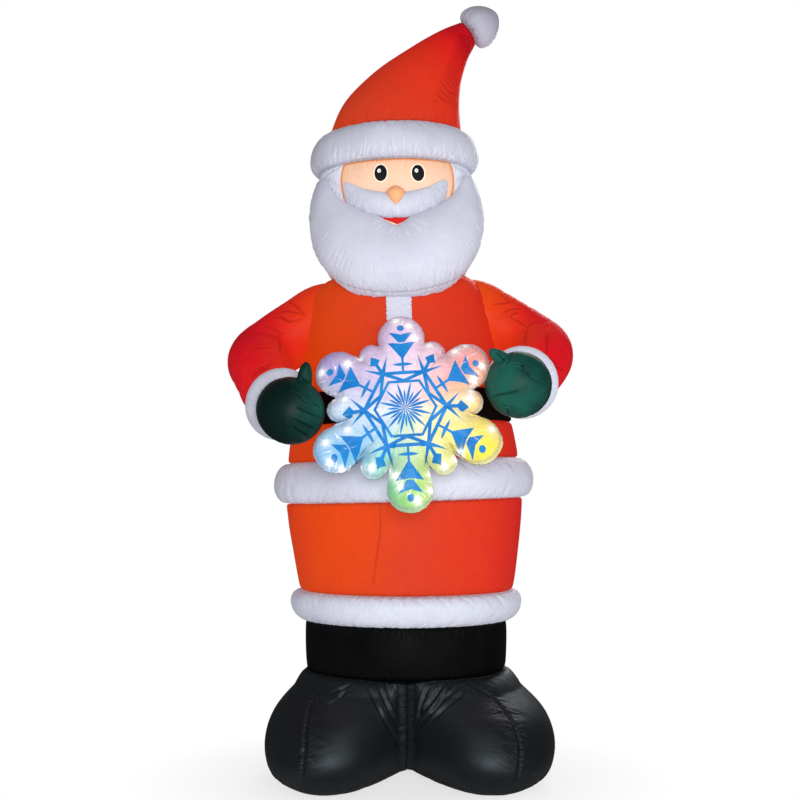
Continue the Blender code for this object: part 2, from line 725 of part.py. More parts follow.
# The snowflake's back presses on the jacket's trim, and its top rests towards the chest
SNOWFLAKE_TURN = Euler((-SNOWFLAKE_TILT, -SNOWFLAKE_ROLL, 0))
SNOWFLAKE_RISE = BELT_LOW + 0.35 * BELT_HEIGHT
SNOWFLAKE_CENTRE = Vector((0.014, -JACKET_TRIM_RADIUS - SNOWFLAKE_AHEAD, SNOWFLAKE_RISE))

HANDS = [
    grip(1, 0.080, (-0.18, -0.97, -0.12), (-0.15, -0.20, 0.55), (-0.80, -0.10, 0.58)),
    grip(-1, -0.008, (0.32, -0.92, -0.23), (0.35, -0.10, 0.62), (0.16, -0.10, 0.98)),
]

JACKET_CUTTER = hide(turned("jacket_cutter", jacket_profile(SEAM_GAP), None, UPPER_BODY, BELOW_PIVOT, CUTTERS))
HEAD_CUTTER = hide(turned("head_cutter", head_profile(SEAM_GAP), None, UPPER_BODY, BELOW_PIVOT, CUTTERS))
BODY_CUTTERS = [
    hide(turned("jacket_trim_cutter", jacket_trim_profile(SEAM_GAP), None, UPPER_BODY, BELOW_PIVOT, CUTTERS)),
    hide(turned("skirt_cutter", skirt_profile(SEAM_GAP), None, UPPER_BODY, BELOW_PIVOT, CUTTERS)),
    hide(turned("belt_cutter", belt_profile(SEAM_GAP), None, UPPER_BODY, BELOW_PIVOT, CUTTERS)),
    JACKET_CUTTER,
]
STRIP_CUTTER = hide(front_strip("strip_cutter", None, SEAM_GAP, CUTTERS))
MOUSTACHE_CUTTER = hide(moustache("moustache_cutter", None, SEAM_GAP, CUTTERS))
SNOWFLAKE_CUTTER = hide(snowflake("snowflake_cutter", None, SEAM_GAP, CUTTERS))

lower_body()
upper_body()
centre_over_origin()
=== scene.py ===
# %% [markdown]
# # A lit inflatable Father Christmas, dressed over its CAD frame
#
# The real figure is a row of air-filled chambers of thin nylon, sewn face to face.
# The frame holds each chamber as a plain solid. Here each one becomes a smooth
# puffed skin, drawn in at its seams, with the small creases that sewing leaves.

# %% Load the frame
import json
import math

import bpy
import numpy as np
from mathutils import Matrix, Vector


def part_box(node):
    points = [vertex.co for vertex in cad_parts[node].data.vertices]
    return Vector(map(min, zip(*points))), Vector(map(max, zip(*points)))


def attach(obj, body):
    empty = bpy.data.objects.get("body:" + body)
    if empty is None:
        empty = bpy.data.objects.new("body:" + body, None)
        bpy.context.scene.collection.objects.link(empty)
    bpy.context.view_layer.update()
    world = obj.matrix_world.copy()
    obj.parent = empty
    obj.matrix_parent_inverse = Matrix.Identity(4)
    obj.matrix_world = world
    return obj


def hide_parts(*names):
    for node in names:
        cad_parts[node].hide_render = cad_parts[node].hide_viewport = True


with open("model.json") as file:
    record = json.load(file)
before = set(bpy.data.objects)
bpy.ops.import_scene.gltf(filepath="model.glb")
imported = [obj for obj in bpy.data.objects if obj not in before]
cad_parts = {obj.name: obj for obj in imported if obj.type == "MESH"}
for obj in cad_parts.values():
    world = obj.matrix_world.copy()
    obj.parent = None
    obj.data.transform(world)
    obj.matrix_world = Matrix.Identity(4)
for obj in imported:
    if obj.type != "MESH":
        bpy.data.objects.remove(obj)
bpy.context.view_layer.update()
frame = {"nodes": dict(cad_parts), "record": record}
print("frame pieces:", len(frame["nodes"]))

# %% [markdown]
# The camera comes first, because every shape is judged through it. The seams of the
# white trims curve upwards above the lens and downwards below it. That puts the lens
# at 1.39 m, a tripod's height, and 6.6 m in front of the figure, tipped up a little.

# %% Camera
LENS_PLACE = (-0.001, -6.4805, 1.385)
LENS_PITCH = math.radians(93.25)
FRAME_SIDE = 800
bpy.ops.object.select_all(action="DESELECT")
bpy.ops.object.camera_add(location=LENS_PLACE, rotation=(LENS_PITCH, 0, 0))
camera = bpy.context.object
camera.name = "photo_camera"
camera.data.sensor_width = 36
camera.data.lens = 61.85
bpy.context.scene.camera = camera
print("camera stands", -LENS_PLACE[1], "m in front,", LENS_PLACE[2], "m up")

# %% [markdown]
# Some creases and seams are seen only in the photograph. This helper sends a ray from
# the lens through a place in the square frame, and tells where it meets a piece. A
# smooth curve through a few such places then becomes a line on the cloth.


# %% Places seen in the photograph
def seen_on(piece, across, down):
    """The point of a piece that shows at a place of the photograph, in pixels, or None."""
    bpy.context.view_layer.update()
    scale = camera.data.lens / camera.data.sensor_width * FRAME_SIDE
    middle = FRAME_SIDE / 2
    way = Vector(((across - middle) / scale, (middle - down) / scale, -1.0))
    way = camera.matrix_world.to_3x3() @ way
    hit, place, normal, face = piece.ray_cast(camera.matrix_world.translation, way.normalized())
    return place.copy() if hit else None


def seen_line(piece, places, count=60):
    """A smooth line over a piece through places of the photograph."""
    keys = [np.array(place, dtype=float) for place in places]
    line = []
    for i in range(count):
        across, down = spline_point(keys, (len(keys) - 1) * i / (count - 1))
        point = seen_on(piece, across, down)
        if point is not None:
            line.append(point)
    return np.array(line)


def spline_point(keys, t):
    """A point on the smooth curve through the keys, t counted in keys."""
    last = len(keys) - 1
    i = min(int(t), last - 1)
    f = t - i
    a, b, c, d = keys[max(i - 1, 0)], keys[i], keys[i + 1], keys[min(i + 2, last)]
    bend = 2 * a - 5 * b + 4 * c - d
    twist = 3 * b - a - 3 * c + d
    return 0.5 * (2 * b + (c - a) * f + bend * f**2 + twist * f**3)


# %% [markdown]
# The lower half stands upright. All that is above the trousers leans as one by 1.6
# degrees, so those pieces are modelled upright and get this one move at the end.

# %% The two places that pieces are modelled in
shaft_low, shaft_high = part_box("boot_shaft")
AXIS = Vector(((shaft_low[0] + shaft_high[0]) / 2, (shaft_low[1] + shaft_high[1]) / 2, 0))
WAIST = 1.28
LEAN = math.radians(1.6)
LEAN_FOOT = AXIS + Vector((-0.009, 0, WAIST))
UPRIGHT = Matrix.Translation(AXIS)
LEANING = (Matrix.Translation(LEAN_FOOT) @ Matrix.Rotation(-LEAN, 4, "Y")
           @ Matrix.Translation((0, 0, -WAIST)))
print("figure's axis stands at", [round(v, 4) for v in AXIS])

# %% [markdown]
# A chamber is a stack of rings: a flat circle is extruded upwards ring by ring, and
# each ring is resized and tipped. One subdivision modifier then rounds the stack. A
# ring just inside each flat end holds the seam's corner, as a support loop does.


# %% Ring stacks
def named(name):
    """Gives the object that an operator has just made its name."""
    piece = bpy.context.object
    piece.name = name
    piece.data.name = name
    return piece


def select_only(*pieces):
    """Selects these pieces, and makes the last one active."""
    bpy.ops.object.select_all(action="DESELECT")
    for piece in pieces:
        piece.select_set(True)
    bpy.context.view_layer.objects.active = pieces[-1]


def finish_place(piece, place):
    """Moves a piece from its own modelling place into the figure's frame, inside its mesh."""
    piece.matrix_world = place @ piece.matrix_world
    select_only(piece)
    bpy.ops.object.transform_apply(location=True, rotation=True, scale=True)


def apply_modifier(piece, kind, **settings):
    """Adds a modifier with these settings and applies it."""
    select_only(piece)
    modifier = piece.modifiers.new(kind.title(), kind)
    for key, value in settings.items():
        setattr(modifier, key, value)
    bpy.ops.object.modifier_apply(modifier=modifier.name)


def ring_stack(name, rings, place, sides=64, levels=3):
    """rings are (x, height, radius, tilt in degrees) from the low end to the high end."""
    x, z, radius, tilt = rings[0]
    bpy.ops.object.select_all(action="DESELECT")
    bpy.ops.mesh.primitive_circle_add(vertices=sides, radius=radius, fill_type="NGON",
                                      location=(x, 0, z))
    piece = named(name)
    bpy.ops.object.mode_set(mode="EDIT")
    bpy.ops.mesh.select_all(action="SELECT")
    for before, ring in zip(rings, rings[1:]):
        centre = (ring[0], 0, ring[1])
        step = (ring[0] - before[0], 0, ring[1] - before[1])
        bpy.ops.mesh.extrude_region_move(TRANSFORM_OT_translate={"value": step})
        grow = ring[2] / before[2]
        bpy.ops.transform.resize(value=(grow, grow, grow), center_override=centre)
        if ring[3] != before[3]:
            bpy.ops.transform.rotate(value=math.radians(before[3] - ring[3]), orient_axis="Y",
                                     center_override=centre)
    bpy.ops.mesh.select_all(action="SELECT")
    bpy.ops.mesh.normals_make_consistent(inside=False)
    bpy.ops.object.mode_set(mode="OBJECT")
    finish_place(piece, place)
    apply_modifier(piece, "SUBSURF", levels=levels, render_levels=levels)
    piece.data.shade_smooth()
    return piece


def puffed(low, high, low_radius, high_radius, puff, rows=7):
    """Rings of a chamber whose side swells by puff between its two flat, sewn ends."""
    rings = [(0, low, 0.90 * low_radius, 0), (0, low, 0.975 * low_radius, 0)]
    for i in range(rows + 1):
        a = math.pi * i / rows
        z = (low + high) / 2 - (high - low) / 2 * math.cos(a)
        share = (z - low) / (high - low)
        radius = low_radius + (high_radius - low_radius) * share + puff * math.sin(a)
        rings.append((0, z, radius, 0))
    return rings + [(0, high, 0.975 * high_radius, 0), (0, high, 0.90 * high_radius, 0)]


# %% [markdown]
# Sewing gathers the cloth, and air then blows the slack out between the stitches. So
# creases start at every seam, run away from it and fade. The next helper finds, for
# each point of a skin, how far along its nearest seam it lies and how far away. The
# one after it digs the creases, each with its own length, depth and slant. Both
# numbers also stay on the mesh, where the cloth's material reads them.


# %% Where the seams are
AT_ONCE = 4000


def seam_circle(x, z, radius, place, tilt=0.0, count=240):
    """A round seam about a ring stack's middle, as a row of points."""
    turn = Matrix.Rotation(math.radians(tilt), 4, "Y")
    points = []
    for i in range(count):
        a = math.tau * i / count + math.pi / 2
        arm = Vector((radius * math.cos(a), radius * math.sin(a), 0))
        points.append(place @ (Vector((x, 0, z)) + turn @ arm))
    return np.array(points)


def mesh_points(piece):
    """The places and normals of a piece's points, one row each."""
    count = len(piece.data.vertices)
    points = np.empty(count * 3)
    normals = np.empty(count * 3)
    piece.data.vertices.foreach_get("co", points)
    piece.data.vertices.foreach_get("normal", normals)
    return points.reshape(-1, 3), normals.reshape(-1, 3)


def move_points(piece, points):
    piece.data.vertices.foreach_set("co", points.ravel())
    piece.data.update()


def seam_places(points, seams, reach):
    """Metres along the nearest seam, and metres away from it, for every point."""
    along = np.zeros(len(points))
    away = np.full(len(points), 9.0)
    start = 0.0
    for seam in seams:
        step = np.roll(seam, -1, axis=0) - seam
        length = np.linalg.norm(step, axis=1)
        if length[-1] > 3 * length[0] + 0.02:
            step[-1] = step[-2]
            length[-1] = length[-2]
        sums = start + np.concatenate(([0], np.cumsum(length)[:-1]))
        tangent = step / length[:, None]
        low, high = seam.min(axis=0) - reach, seam.max(axis=0) + reach
        near = np.nonzero(np.all((points > low) & (points < high), axis=1))[0]
        for first in range(0, len(near), AT_ONCE):
            rows = near[first:first + AT_ONCE]
            part = points[rows]
            gap = np.linalg.norm(part[:, None] - seam[None], axis=2)
            nearest = gap.argmin(axis=1)
            offset = part - seam[nearest]
            forward = (offset * tangent[nearest]).sum(axis=1)
            distance = np.sqrt(np.maximum((offset**2).sum(axis=1) - forward**2, 0))
            better = distance < away[rows]
            along[rows[better]] = (sums[nearest] + forward)[better]
            away[rows[better]] = distance[better]
        start = sums[-1] + length[-1] + 1.0
    return along, away, start


# %% [markdown]
# A crease is deepest at its seam and fades on its way out. Where it starts, how long
# it is and how it slants are drawn at random, and a groove runs along the seam.


# %% Creases that start at the seams
GROOVE_WIDTH = 0.008


def crease(piece, seams, spacing=0.03, length=0.10, depth=0.004, slant=0.3, seed=1, groove=0.003):
    """Digs a groove at each seam and creases away from it, and keeps the seam places."""
    points, normals = mesh_points(piece)
    along, away, total = seam_places(points, seams, 1.5 * length)
    rng = np.random.default_rng(seed)
    dig = groove * np.exp(-((away / GROOVE_WIDTH) ** 2))
    order = np.argsort(along)
    sorted_along = along[order]
    starts = np.arange(0, total, spacing)
    for start in starts + rng.uniform(-0.4, 0.4, int(math.ceil(total / spacing))) * spacing:
        reach = length * rng.uniform(0.35, 1.3)
        deep = depth * rng.uniform(0.3, 1.2)
        lean = slant * rng.normal(1.0, 0.6)
        width = spacing * rng.uniform(0.16, 0.30)
        room = 6 * width + abs(lean) * reach
        first, last = np.searchsorted(sorted_along, (start - room, start + room))
        rows = order[first:last]
        part = away[rows] / reach
        across = np.abs(along[rows] - start - lean * away[rows])
        across = across / (width * (1 + 1.6 * part))
        fade = np.clip(1 - part**2, 0, 1) ** 2
        dig[rows] += deep * fade * np.exp(-(across**1.5))
    move_points(piece, points - normals * dig[:, None])
    keep_seams(piece, along, away)
    return piece


def keep_seams(piece, along, away):
    """Where the nearest seam changes, away is set so far that the cloth's streaks end there."""
    ends = np.zeros(2 * len(piece.data.edges), dtype=int)
    piece.data.edges.foreach_get("vertices", ends)
    ends = ends.reshape(-1, 2)
    jumps = np.abs(along[ends[:, 0]] - along[ends[:, 1]]) > 0.06
    values = np.zeros((len(along), 3))
    values[:, 0] = along
    values[:, 1] = away
    values[np.unique(ends[jumps]), 1] = 1.0
    store = piece.data.attributes.new("seam", "FLOAT_VECTOR", "POINT")
    store.data.foreach_set("vector", values.ravel())


# %% [markdown]
# Away from the seams the cloth has slow hollows, a few sharp folds and a loose net of
# crumples. Each moves the mesh's points along their normals.


# %% Hollows, folds and crumples
def soft_noise(points, size, seed):
    """A smooth random height at each point, about -1 to 1, from a few crossed waves."""
    rng = np.random.default_rng(seed)
    total = np.zeros(len(points))
    for _ in range(14):
        way = rng.normal(size=3)
        way /= np.linalg.norm(way)
        wave = math.tau / (size * rng.uniform(0.7, 1.6))
        total += np.sin(points @ way * wave + rng.uniform(0, math.tau))
    return total / 5.3


def slacken(piece, size, height, seed):
    """Slow, shallow hollows, as in thin cloth that the air doesn't fill quite evenly."""
    points, normals = mesh_points(piece)
    dig = height * (soft_noise(points, size, seed) - 1) / 2
    move_points(piece, points + normals * dig[:, None])
    return piece


def fold(piece, lines, depth=0.006, width=0.010):
    """Presses a crease along each line, deepest in its middle, with a low ridge on both sides.

    How close a point is to a line stays on the mesh, and the cloth's material paints
    shade, or a highlight, along the fold there."""
    points, normals = mesh_points(piece)
    dig = np.zeros(len(points))
    painted_fold_shading = np.zeros(len(points))
    for line in lines:
        if len(line) < 3:
            continue
        low, high = line.min(axis=0) - 6 * width, line.max(axis=0) + 6 * width
        near = np.nonzero(np.all((points > low) & (points < high), axis=1))[0]
        if not len(near):
            continue
        gap = np.linalg.norm(points[near][:, None] - line[None], axis=2)
        nearest = gap.argmin(axis=1)
        share = nearest / (len(line) - 1)
        strength = np.sin(math.pi * np.clip(share, 0, 1)) ** 0.5
        across = gap.min(axis=1) / width
        dig[near] += depth * strength * (1.0 - 0.9 * across**2) * np.exp(-(across**2) / 1.4)
        painted_fold_shading[near] = np.maximum(painted_fold_shading[near], strength * np.exp(-1.6 * across**2))
    move_points(piece, points - normals * dig[:, None])
    store = piece.data.attributes.get("painted_fold_shading") or piece.data.attributes.new("painted_fold_shading", "FLOAT", "POINT")
    store.data.foreach_set("value", painted_fold_shading)
    return piece


def press(piece, lines, depth, width, count):
    """fold, along lines that are given by places of the photograph."""
    return fold(piece, [seen_line(piece, line, count) for line in lines], depth, width)


def crumple(piece, size, depth, seed, sharp=5.0, stretch=(1, 1, 1)):
    """A loose net of sharp creases, along the lines where a smooth random height is zero."""
    points, normals = mesh_points(piece)
    height = soft_noise(points * np.array(stretch), size, seed)
    strength = np.clip(0.5 + soft_noise(points, 2.5 * size, seed + 1), 0, 1)
    dig = depth * strength * np.clip(1 - np.abs(height), 0, 1) ** sharp
    move_points(piece, points - normals * dig[:, None])
    return piece


PIECES = {}
KEPT_SHARE = 0.55


def dress(piece, node, body="root"):
    """The new skin is thinned where it is smooth, and stands for its CAD solid."""
    apply_modifier(piece, "DECIMATE", ratio=KEPT_SHARE)
    piece.data.shade_smooth()
    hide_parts(node)
    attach(piece, body)
    PIECES[node] = piece
    print(node, "has", len(piece.data.polygons), "faces")
    return piece


# %% [markdown]
# Most chambers are the same tube with other heights and radii: a puffed stack,
# creased from the seam at each end.


# %% One creased tube
BOOT_TOP, SHAFT_TOP, TROUSER_FOOT = 0.49, 0.72, 0.86
SKIRT_FOOT, BELT_FOOT, BELT_TOP, NECK = 1.47, 1.64, 1.79, 2.345
BROW, HAT = 2.853, 3.041
BOOT_TOP_RADIUS, TROUSER_RADIUS, TRIM_TOP_RADIUS, CHEST_RADIUS = 0.470, 0.566, 0.550, 0.500
NECK_RADIUS, COLLAR_RADIUS, BROW_RADIUS, HAT_RADIUS = 0.320, 0.330, 0.366, 0.324


def tube(name, low, high, puff, place, sides=64, levels=3, rows=7, **creases):
    """A chamber between two sewn ends, each given as (height, radius)."""
    rings = puffed(low[0], high[0], low[1], high[1], puff, rows)
    piece = ring_stack(name, rings, place, sides, levels)
    crease(piece, [seam_circle(0, z, radius, place) for z, radius in (low, high)], **creases)
    return piece


print("heights of the seams run from", BOOT_TOP, "to", HAT)

# %% [markdown]
# Shaft, lower trim and trousers. The real trims are gathered hard at both seams, so
# their creases are long and slanted, while the wide red tube between them is nearly
# smooth.

# %% Lower tubes
shaft = tube("boot_shaft_cloth", (BOOT_TOP, BOOT_TOP_RADIUS), (SHAFT_TOP, 0.476), 0.005, UPRIGHT,
             64, 2, 4, spacing=0.05, length=0.09, depth=0.0025, seed=11)
dress(shaft, "boot_shaft")

lower_trim = tube("boot_trim_cloth", (SHAFT_TOP, 0.480), (TROUSER_FOOT, 0.508), 0.055, UPRIGHT,
                  104, spacing=0.028, length=0.12, depth=0.0046, slant=0.6, seed=12)
dress(lower_trim, "boot_trim")

TROUSER_TILT = -1.6
TROUSER_SHIFT = -0.009
TROUSER_CREASE = [(379, 500), (380, 530), (376, 560), (372, 590)]
low_rings = [(0, TROUSER_FOOT, radius, 0) for radius in (0.458, 0.497, 0.508)]
side_rings = [(-0.001, 0.93, 0.5212, -0.1), (-0.003, 1.02, 0.5345, -0.5), (-0.006, 1.14, 0.5522, -1.0),
              (-0.008, 1.23, 0.562, -1.4)]
top_rings = [(TROUSER_SHIFT, WAIST, radius, TROUSER_TILT) for radius in (TROUSER_RADIUS, 0.555, 0.51)]
trousers = ring_stack("trousers_cloth", low_rings + side_rings + top_rings, UPRIGHT, 64)
top_seam = seam_circle(TROUSER_SHIFT, WAIST, TROUSER_RADIUS, UPRIGHT, TROUSER_TILT)
crease(trousers, [seam_circle(0, TROUSER_FOOT, 0.508, UPRIGHT), top_seam],
       spacing=0.06, length=0.12, depth=0.0022, seed=13)
slacken(trousers, 0.5, 0.005, 14)
press(trousers, [TROUSER_CREASE], 0.003, 0.005, 120)
dress(trousers, "trousers")

# %% [markdown]
# Jacket: a large trim, the skirt, the belt and the chest. The chest's rings run on
# over sloping shoulders to the neck.

# %% Upper tubes
jacket_trim = tube("jacket_trim_cloth", (WAIST, TROUSER_RADIUS), (SKIRT_FOOT, TRIM_TOP_RADIUS), 0.063,
                   LEANING, 124, spacing=0.030, length=0.15, depth=0.0050, slant=0.6, seed=21)
dress(jacket_trim, "jacket_trim")

skirt = tube("jacket_skirt_cloth", (SKIRT_FOOT, TRIM_TOP_RADIUS), (BELT_FOOT, 0.522), 0.004, LEANING,
             64, 2, 4, spacing=0.05, length=0.08, depth=0.002, seed=22)
dress(skirt, "jacket_skirt")

belt = tube("belt_cloth", (BELT_FOOT, 0.526), (BELT_TOP, 0.504), 0.003, LEANING,
            64, 2, 4, spacing=0.05, length=0.06, depth=0.002, seed=23)
dress(belt, "belt")

chest = [(BELT_TOP, 0.45), (BELT_TOP, 0.488), (BELT_TOP, CHEST_RADIUS), (1.86, 0.4895), (1.93, 0.478),
         (2.01, 0.466), (2.10, 0.454), (2.18, 0.440), (2.24, 0.425), (2.29, 0.402), (2.325, 0.371),
         (NECK, COLLAR_RADIUS), (NECK, 0.320), (NECK, 0.28)]
jacket = ring_stack("jacket_cloth", [(0, z, radius, 0) for z, radius in chest], LEANING, 64)

# %% [markdown]
# Arms. Each sleeve, mitten and thumb is a curve with a round bevel whose radius
# changes from point to point. Turned into a mesh it is a tube with rounded bends, the
# quickest honest way to model a limb.


# %% Limb tubes
def limb(name, keys, count, place, resolution):
    """keys are rows of (x, y, z, radius) along the limb's middle."""
    keys = [np.array(key, dtype=float) for key in keys]
    rows = [spline_point(keys, (len(keys) - 1) * i / (count - 1)) for i in range(count)]
    bpy.ops.object.select_all(action="DESELECT")
    bpy.ops.curve.primitive_bezier_curve_add(location=(0, 0, 0))
    piece = named(name)
    curve = piece.data
    curve.splines.clear()
    spline = curve.splines.new("POLY")
    spline.points.add(count - 1)
    for point, row in zip(spline.points, rows):
        point.co = (row[0], row[1], row[2], 1)
        point.radius = row[3]
    curve.dimensions = "3D"
    curve.twist_mode = "MINIMUM"
    curve.bevel_depth = 1.0
    curve.bevel_resolution = resolution
    curve.use_fill_caps = True
    bpy.ops.object.convert(target="MESH")
    piece = named(name)
    bpy.ops.object.mode_set(mode="EDIT")
    bpy.ops.mesh.select_all(action="SELECT")
    bpy.ops.mesh.remove_doubles(threshold=0.0001)
    bpy.ops.mesh.normals_make_consistent(inside=False)
    bpy.ops.object.mode_set(mode="OBJECT")
    finish_place(piece, place)
    return piece


print("a limb is a round tube along a curve")

# %% [markdown]
# The hands press on the snowflake from both sides. Each has its middle, the way it
# reaches, and the place and direction of its thumb, seen from the snowflake's middle.


# %% The hands' places
FLAKE_CENTRE = Vector((0.014, -0.706, 1.6925))
HANDS = []
HAND_ROWS = ((1, 0.080, (-0.18, -0.97, -0.12), (-0.15, -0.20, 0.55), (-0.80, -0.10, 0.58)),
             (-1, -0.008, (0.32, -0.92, -0.23), (0.35, -0.10, 0.62), (0.16, -0.10, 0.98)))
for side, rise, direction, root, thumb in HAND_ROWS:
    HANDS.append({
        "name": "left" if side > 0 else "right",
        "side": side,
        "middle": FLAKE_CENTRE + Vector((side * 0.4895, 0.035, rise)),
        "direction": Vector(direction).normalized(),
        "root": Vector(root),
        "thumb": Vector(thumb).normalized(),
    })
MITTEN = 0.285
CUFF = 0.09
SHOULDER = 2.165
ELBOW = 0.662


def axis_circle(centre, axis, radius, place, count=160):
    """A round seam about any axis, as a row of points."""
    turn = axis.to_track_quat("Z", "Y").to_matrix()
    points = []
    for i in range(count):
        a = math.tau * i / count
        arm = Vector((radius * math.cos(a), radius * math.sin(a), 0))
        points.append(place @ (centre + turn @ arm))
    return np.array(points)


print("hands reach", [hand["name"] for hand in HANDS], "to", tuple(FLAKE_CENTRE))

# %% [markdown]
# A sleeve runs from the shoulder over the elbow to the wrist. Its folds are those
# that show in the photograph, over a loose net of crumples.


# %% Sleeves
def arm(hand):
    """The sleeve from inside the shoulder to the wrist."""
    side = hand["side"]
    wrist = hand["middle"] - hand["direction"] * (MITTEN / 2 + CUFF)
    before = wrist - hand["direction"] * 0.07
    bend = [(0.30, 0, 0.04, 0.12), (0.52, 0, 0.015, 0.156), (0.71, -0.01, -0.055, 0.156),
            (0.90, -0.05, -0.135, 0.150), (1.0, -0.14, -0.205, 0.150), (0.96, -0.27, -0.275, 0.142)]
    keys = [(side * share * ELBOW, y, SHOULDER + rise, radius) for share, y, rise, radius in bend]
    keys += [(*before, 0.134), (*wrist, 0.12)]
    sleeve = limb(hand["name"] + "_sleeve_cloth", keys, 40, LEANING, 14)
    apply_modifier(sleeve, "REMESH", mode="VOXEL", voxel_size=0.008)
    apply_modifier(sleeve, "SMOOTH", factor=0.5, iterations=6)
    seams = [axis_circle(wrist, hand["direction"], 0.12, LEANING)]
    crumple(sleeve, 0.26, 0.005, 34 + side, 7.0, (1.0, 1.6, 2.4))
    press(sleeve, SLEEVE_FOLDS[side], 0.006, 0.0065, 60)
    crease(sleeve, seams, spacing=0.030, length=0.14, depth=0.006, seed=31 + side)
    sleeve.data.shade_smooth()
    return dress(sleeve, hand["name"] + "_sleeve")


SLEEVE_FOLDS = {-1: [[(275, 314), (286, 311), (303, 314)], [(271, 318), (281, 317), (291, 323)],
                     [(281, 317), (289, 321), (302, 318)], [(249, 334), (262, 333), (279, 337)],
                     [(249, 351), (258, 348), (271, 347)], [(279, 334), (280, 344), (281, 355)],
                     [(254, 371), (265, 366), (275, 363)], [(250, 377), (261, 370), (270, 367)],
                     [(286, 300), (296, 306), (305, 316)], [(262, 325), (272, 328), (284, 334)]],
                1: [[(492, 304), (504, 303), (516, 300)], [(503, 313), (511, 309), (521, 308)],
                    [(509, 316), (515, 313), (520, 313)], [(505, 313), (516, 320), (527, 327)],
                    [(527, 327), (534, 323), (547, 322)], [(527, 327), (525, 338), (525, 348)],
                    [(547, 333), (547, 345), (546, 355)], [(552, 364), (559, 368), (565, 371)],
                    [(542, 352), (552, 358), (558, 367)], [(500, 294), (508, 300), (522, 306)]]}
print("folds on each sleeve:", len(SLEEVE_FOLDS[1]))

# %% [markdown]
# Each cuff is a small puffed stack on the wrist's own axis.


# %% Cuffs
def wrist_ring(hand):
    """The white ring between the sleeve and the mitten."""
    turn = hand["direction"].to_track_quat("Z", "Y").to_matrix().to_4x4()
    start = hand["middle"] - hand["direction"] * (MITTEN / 2 + CUFF)
    place = LEANING @ Matrix.Translation(start) @ turn
    ring = tube(hand["name"] + "_cuff_cloth", (0, 0.115), (CUFF, 0.115), 0.051, place,
                40, 3, 6, spacing=0.022, length=0.06, depth=0.0035, seed=41 + hand["side"])
    return dress(ring, hand["name"] + "_cuff")


print("a cuff is", CUFF, "m long")

# %% [markdown]
# A mitten is two short limbs, the palm and the thumb, joined and remeshed into one
# skin.


# %% Mittens
def knuckles(start, direction, length, radius, shape):
    """Keys of a short limb, from rows of (share of its length, share of its radius)."""
    return [(*(start + direction * length * share), radius * width) for share, width in shape]


def mitten(hand):
    """The palm and the thumb as one skin."""
    start = hand["middle"] - hand["direction"] * MITTEN / 2
    shape = [(0.0, 0.76), (0.10, 0.90), (0.24, 0.98), (0.42, 1.0), (0.60, 0.97), (0.76, 0.85),
             (0.88, 0.66), (0.96, 0.42), (1.0, 0.14)]
    palm_keys = knuckles(start, hand["direction"], MITTEN, 0.145, shape)
    palm = limb(hand["name"] + "_mitten_cloth", palm_keys, 24, LEANING, 14)
    root = hand["middle"] + hand["root"] * 0.145
    shape = [(-0.3, 1.0), (0, 1.0), (0.35, 1.05), (0.65, 0.92), (0.88, 0.60), (1.0, 0.18)]
    thumb_keys = knuckles(root, hand["thumb"], 0.125, 0.032, shape)
    thumb = limb(hand["name"] + "_thumb_cloth", thumb_keys, 16, LEANING, 8)
    select_only(thumb, palm)
    bpy.ops.object.join()
    apply_modifier(palm, "REMESH", mode="VOXEL", voxel_size=0.004)
    apply_modifier(palm, "SMOOTH", factor=0.5, iterations=8)
    crumple(palm, 0.20, 0.004, 54 + hand["side"], 9.0)
    press(palm, PALM_FOLDS[hand["side"]], 0.010, 0.0050, 50)
    crease(palm, [axis_circle(start, hand["direction"], 0.11, LEANING)],
           spacing=0.022, length=0.14, depth=0.004, seed=51 + hand["side"])
    palm.data.shade_smooth()
    return dress(palm, hand["name"] + "_mitten")


PALM_FOLDS = {-1: [[(297, 407), (309, 413), (326, 419)], [(292, 426), (299, 431), (309, 436)],
                   [(290, 391), (297, 395), (307, 403)], [(312, 402), (316, 405), (321, 408)],
                   [(301, 378), (307, 382), (314, 383)], [(294, 419), (304, 424), (316, 430)],
                   [(283, 437), (292, 440), (303, 441)]],
              1: [[(512, 352), (507, 363), (498, 370)], [(495, 351), (500, 356), (505, 361)],
                  [(511, 363), (521, 365), (528, 372)], [(491, 397), (504, 394), (519, 391)],
                  [(501, 405), (506, 406), (512, 408)], [(506, 408), (509, 414), (512, 420)],
                  [(512, 420), (520, 416), (528, 411)], [(519, 368), (526, 372), (531, 378)]]}

for hand in HANDS:
    arm(hand)
    wrist_ring(hand)
    mitten(hand)

# %% [markdown]
# The jacket is creased last, because its armholes are seams too: rings where the
# sleeves leave it.

# %% Chest
armholes = []
for side in (1, -1):
    middle = Vector((side * 0.41, 0, SHOULDER - 0.02))
    armholes.append(axis_circle(middle, Vector((side, 0, -0.25)).normalized(), 0.155, LEANING))
ARMHOLE_FOLDS = [[(323, 283), (315, 297), (309, 306), (303, 314)], [(305, 313), (307, 319), (304, 332)],
                 [(476, 282), (485, 295), (492, 306)], [(491, 305), (494, 317), (494, 331)]]
press(jacket, ARMHOLE_FOLDS, 0.012, 0.006, 50)
ends = [seam_circle(0, BELT_TOP, CHEST_RADIUS, LEANING), seam_circle(0, NECK, COLLAR_RADIUS, LEANING)]
crease(jacket, ends + armholes,
       spacing=0.035, length=0.14, depth=0.005, seed=24)
slacken(jacket, 0.45, 0.006, 29)
dress(jacket, "jacket")

# %% [markdown]
# The pieces that no lathe could turn start from the frame's own solid. Its facets
# are merged and rounded, a voxel remesh gives it an even skin, and a smoothing pass
# takes the last edges off. Seams and creases come after that.


# %% A skin from the frame
BLUNT = math.radians(60)


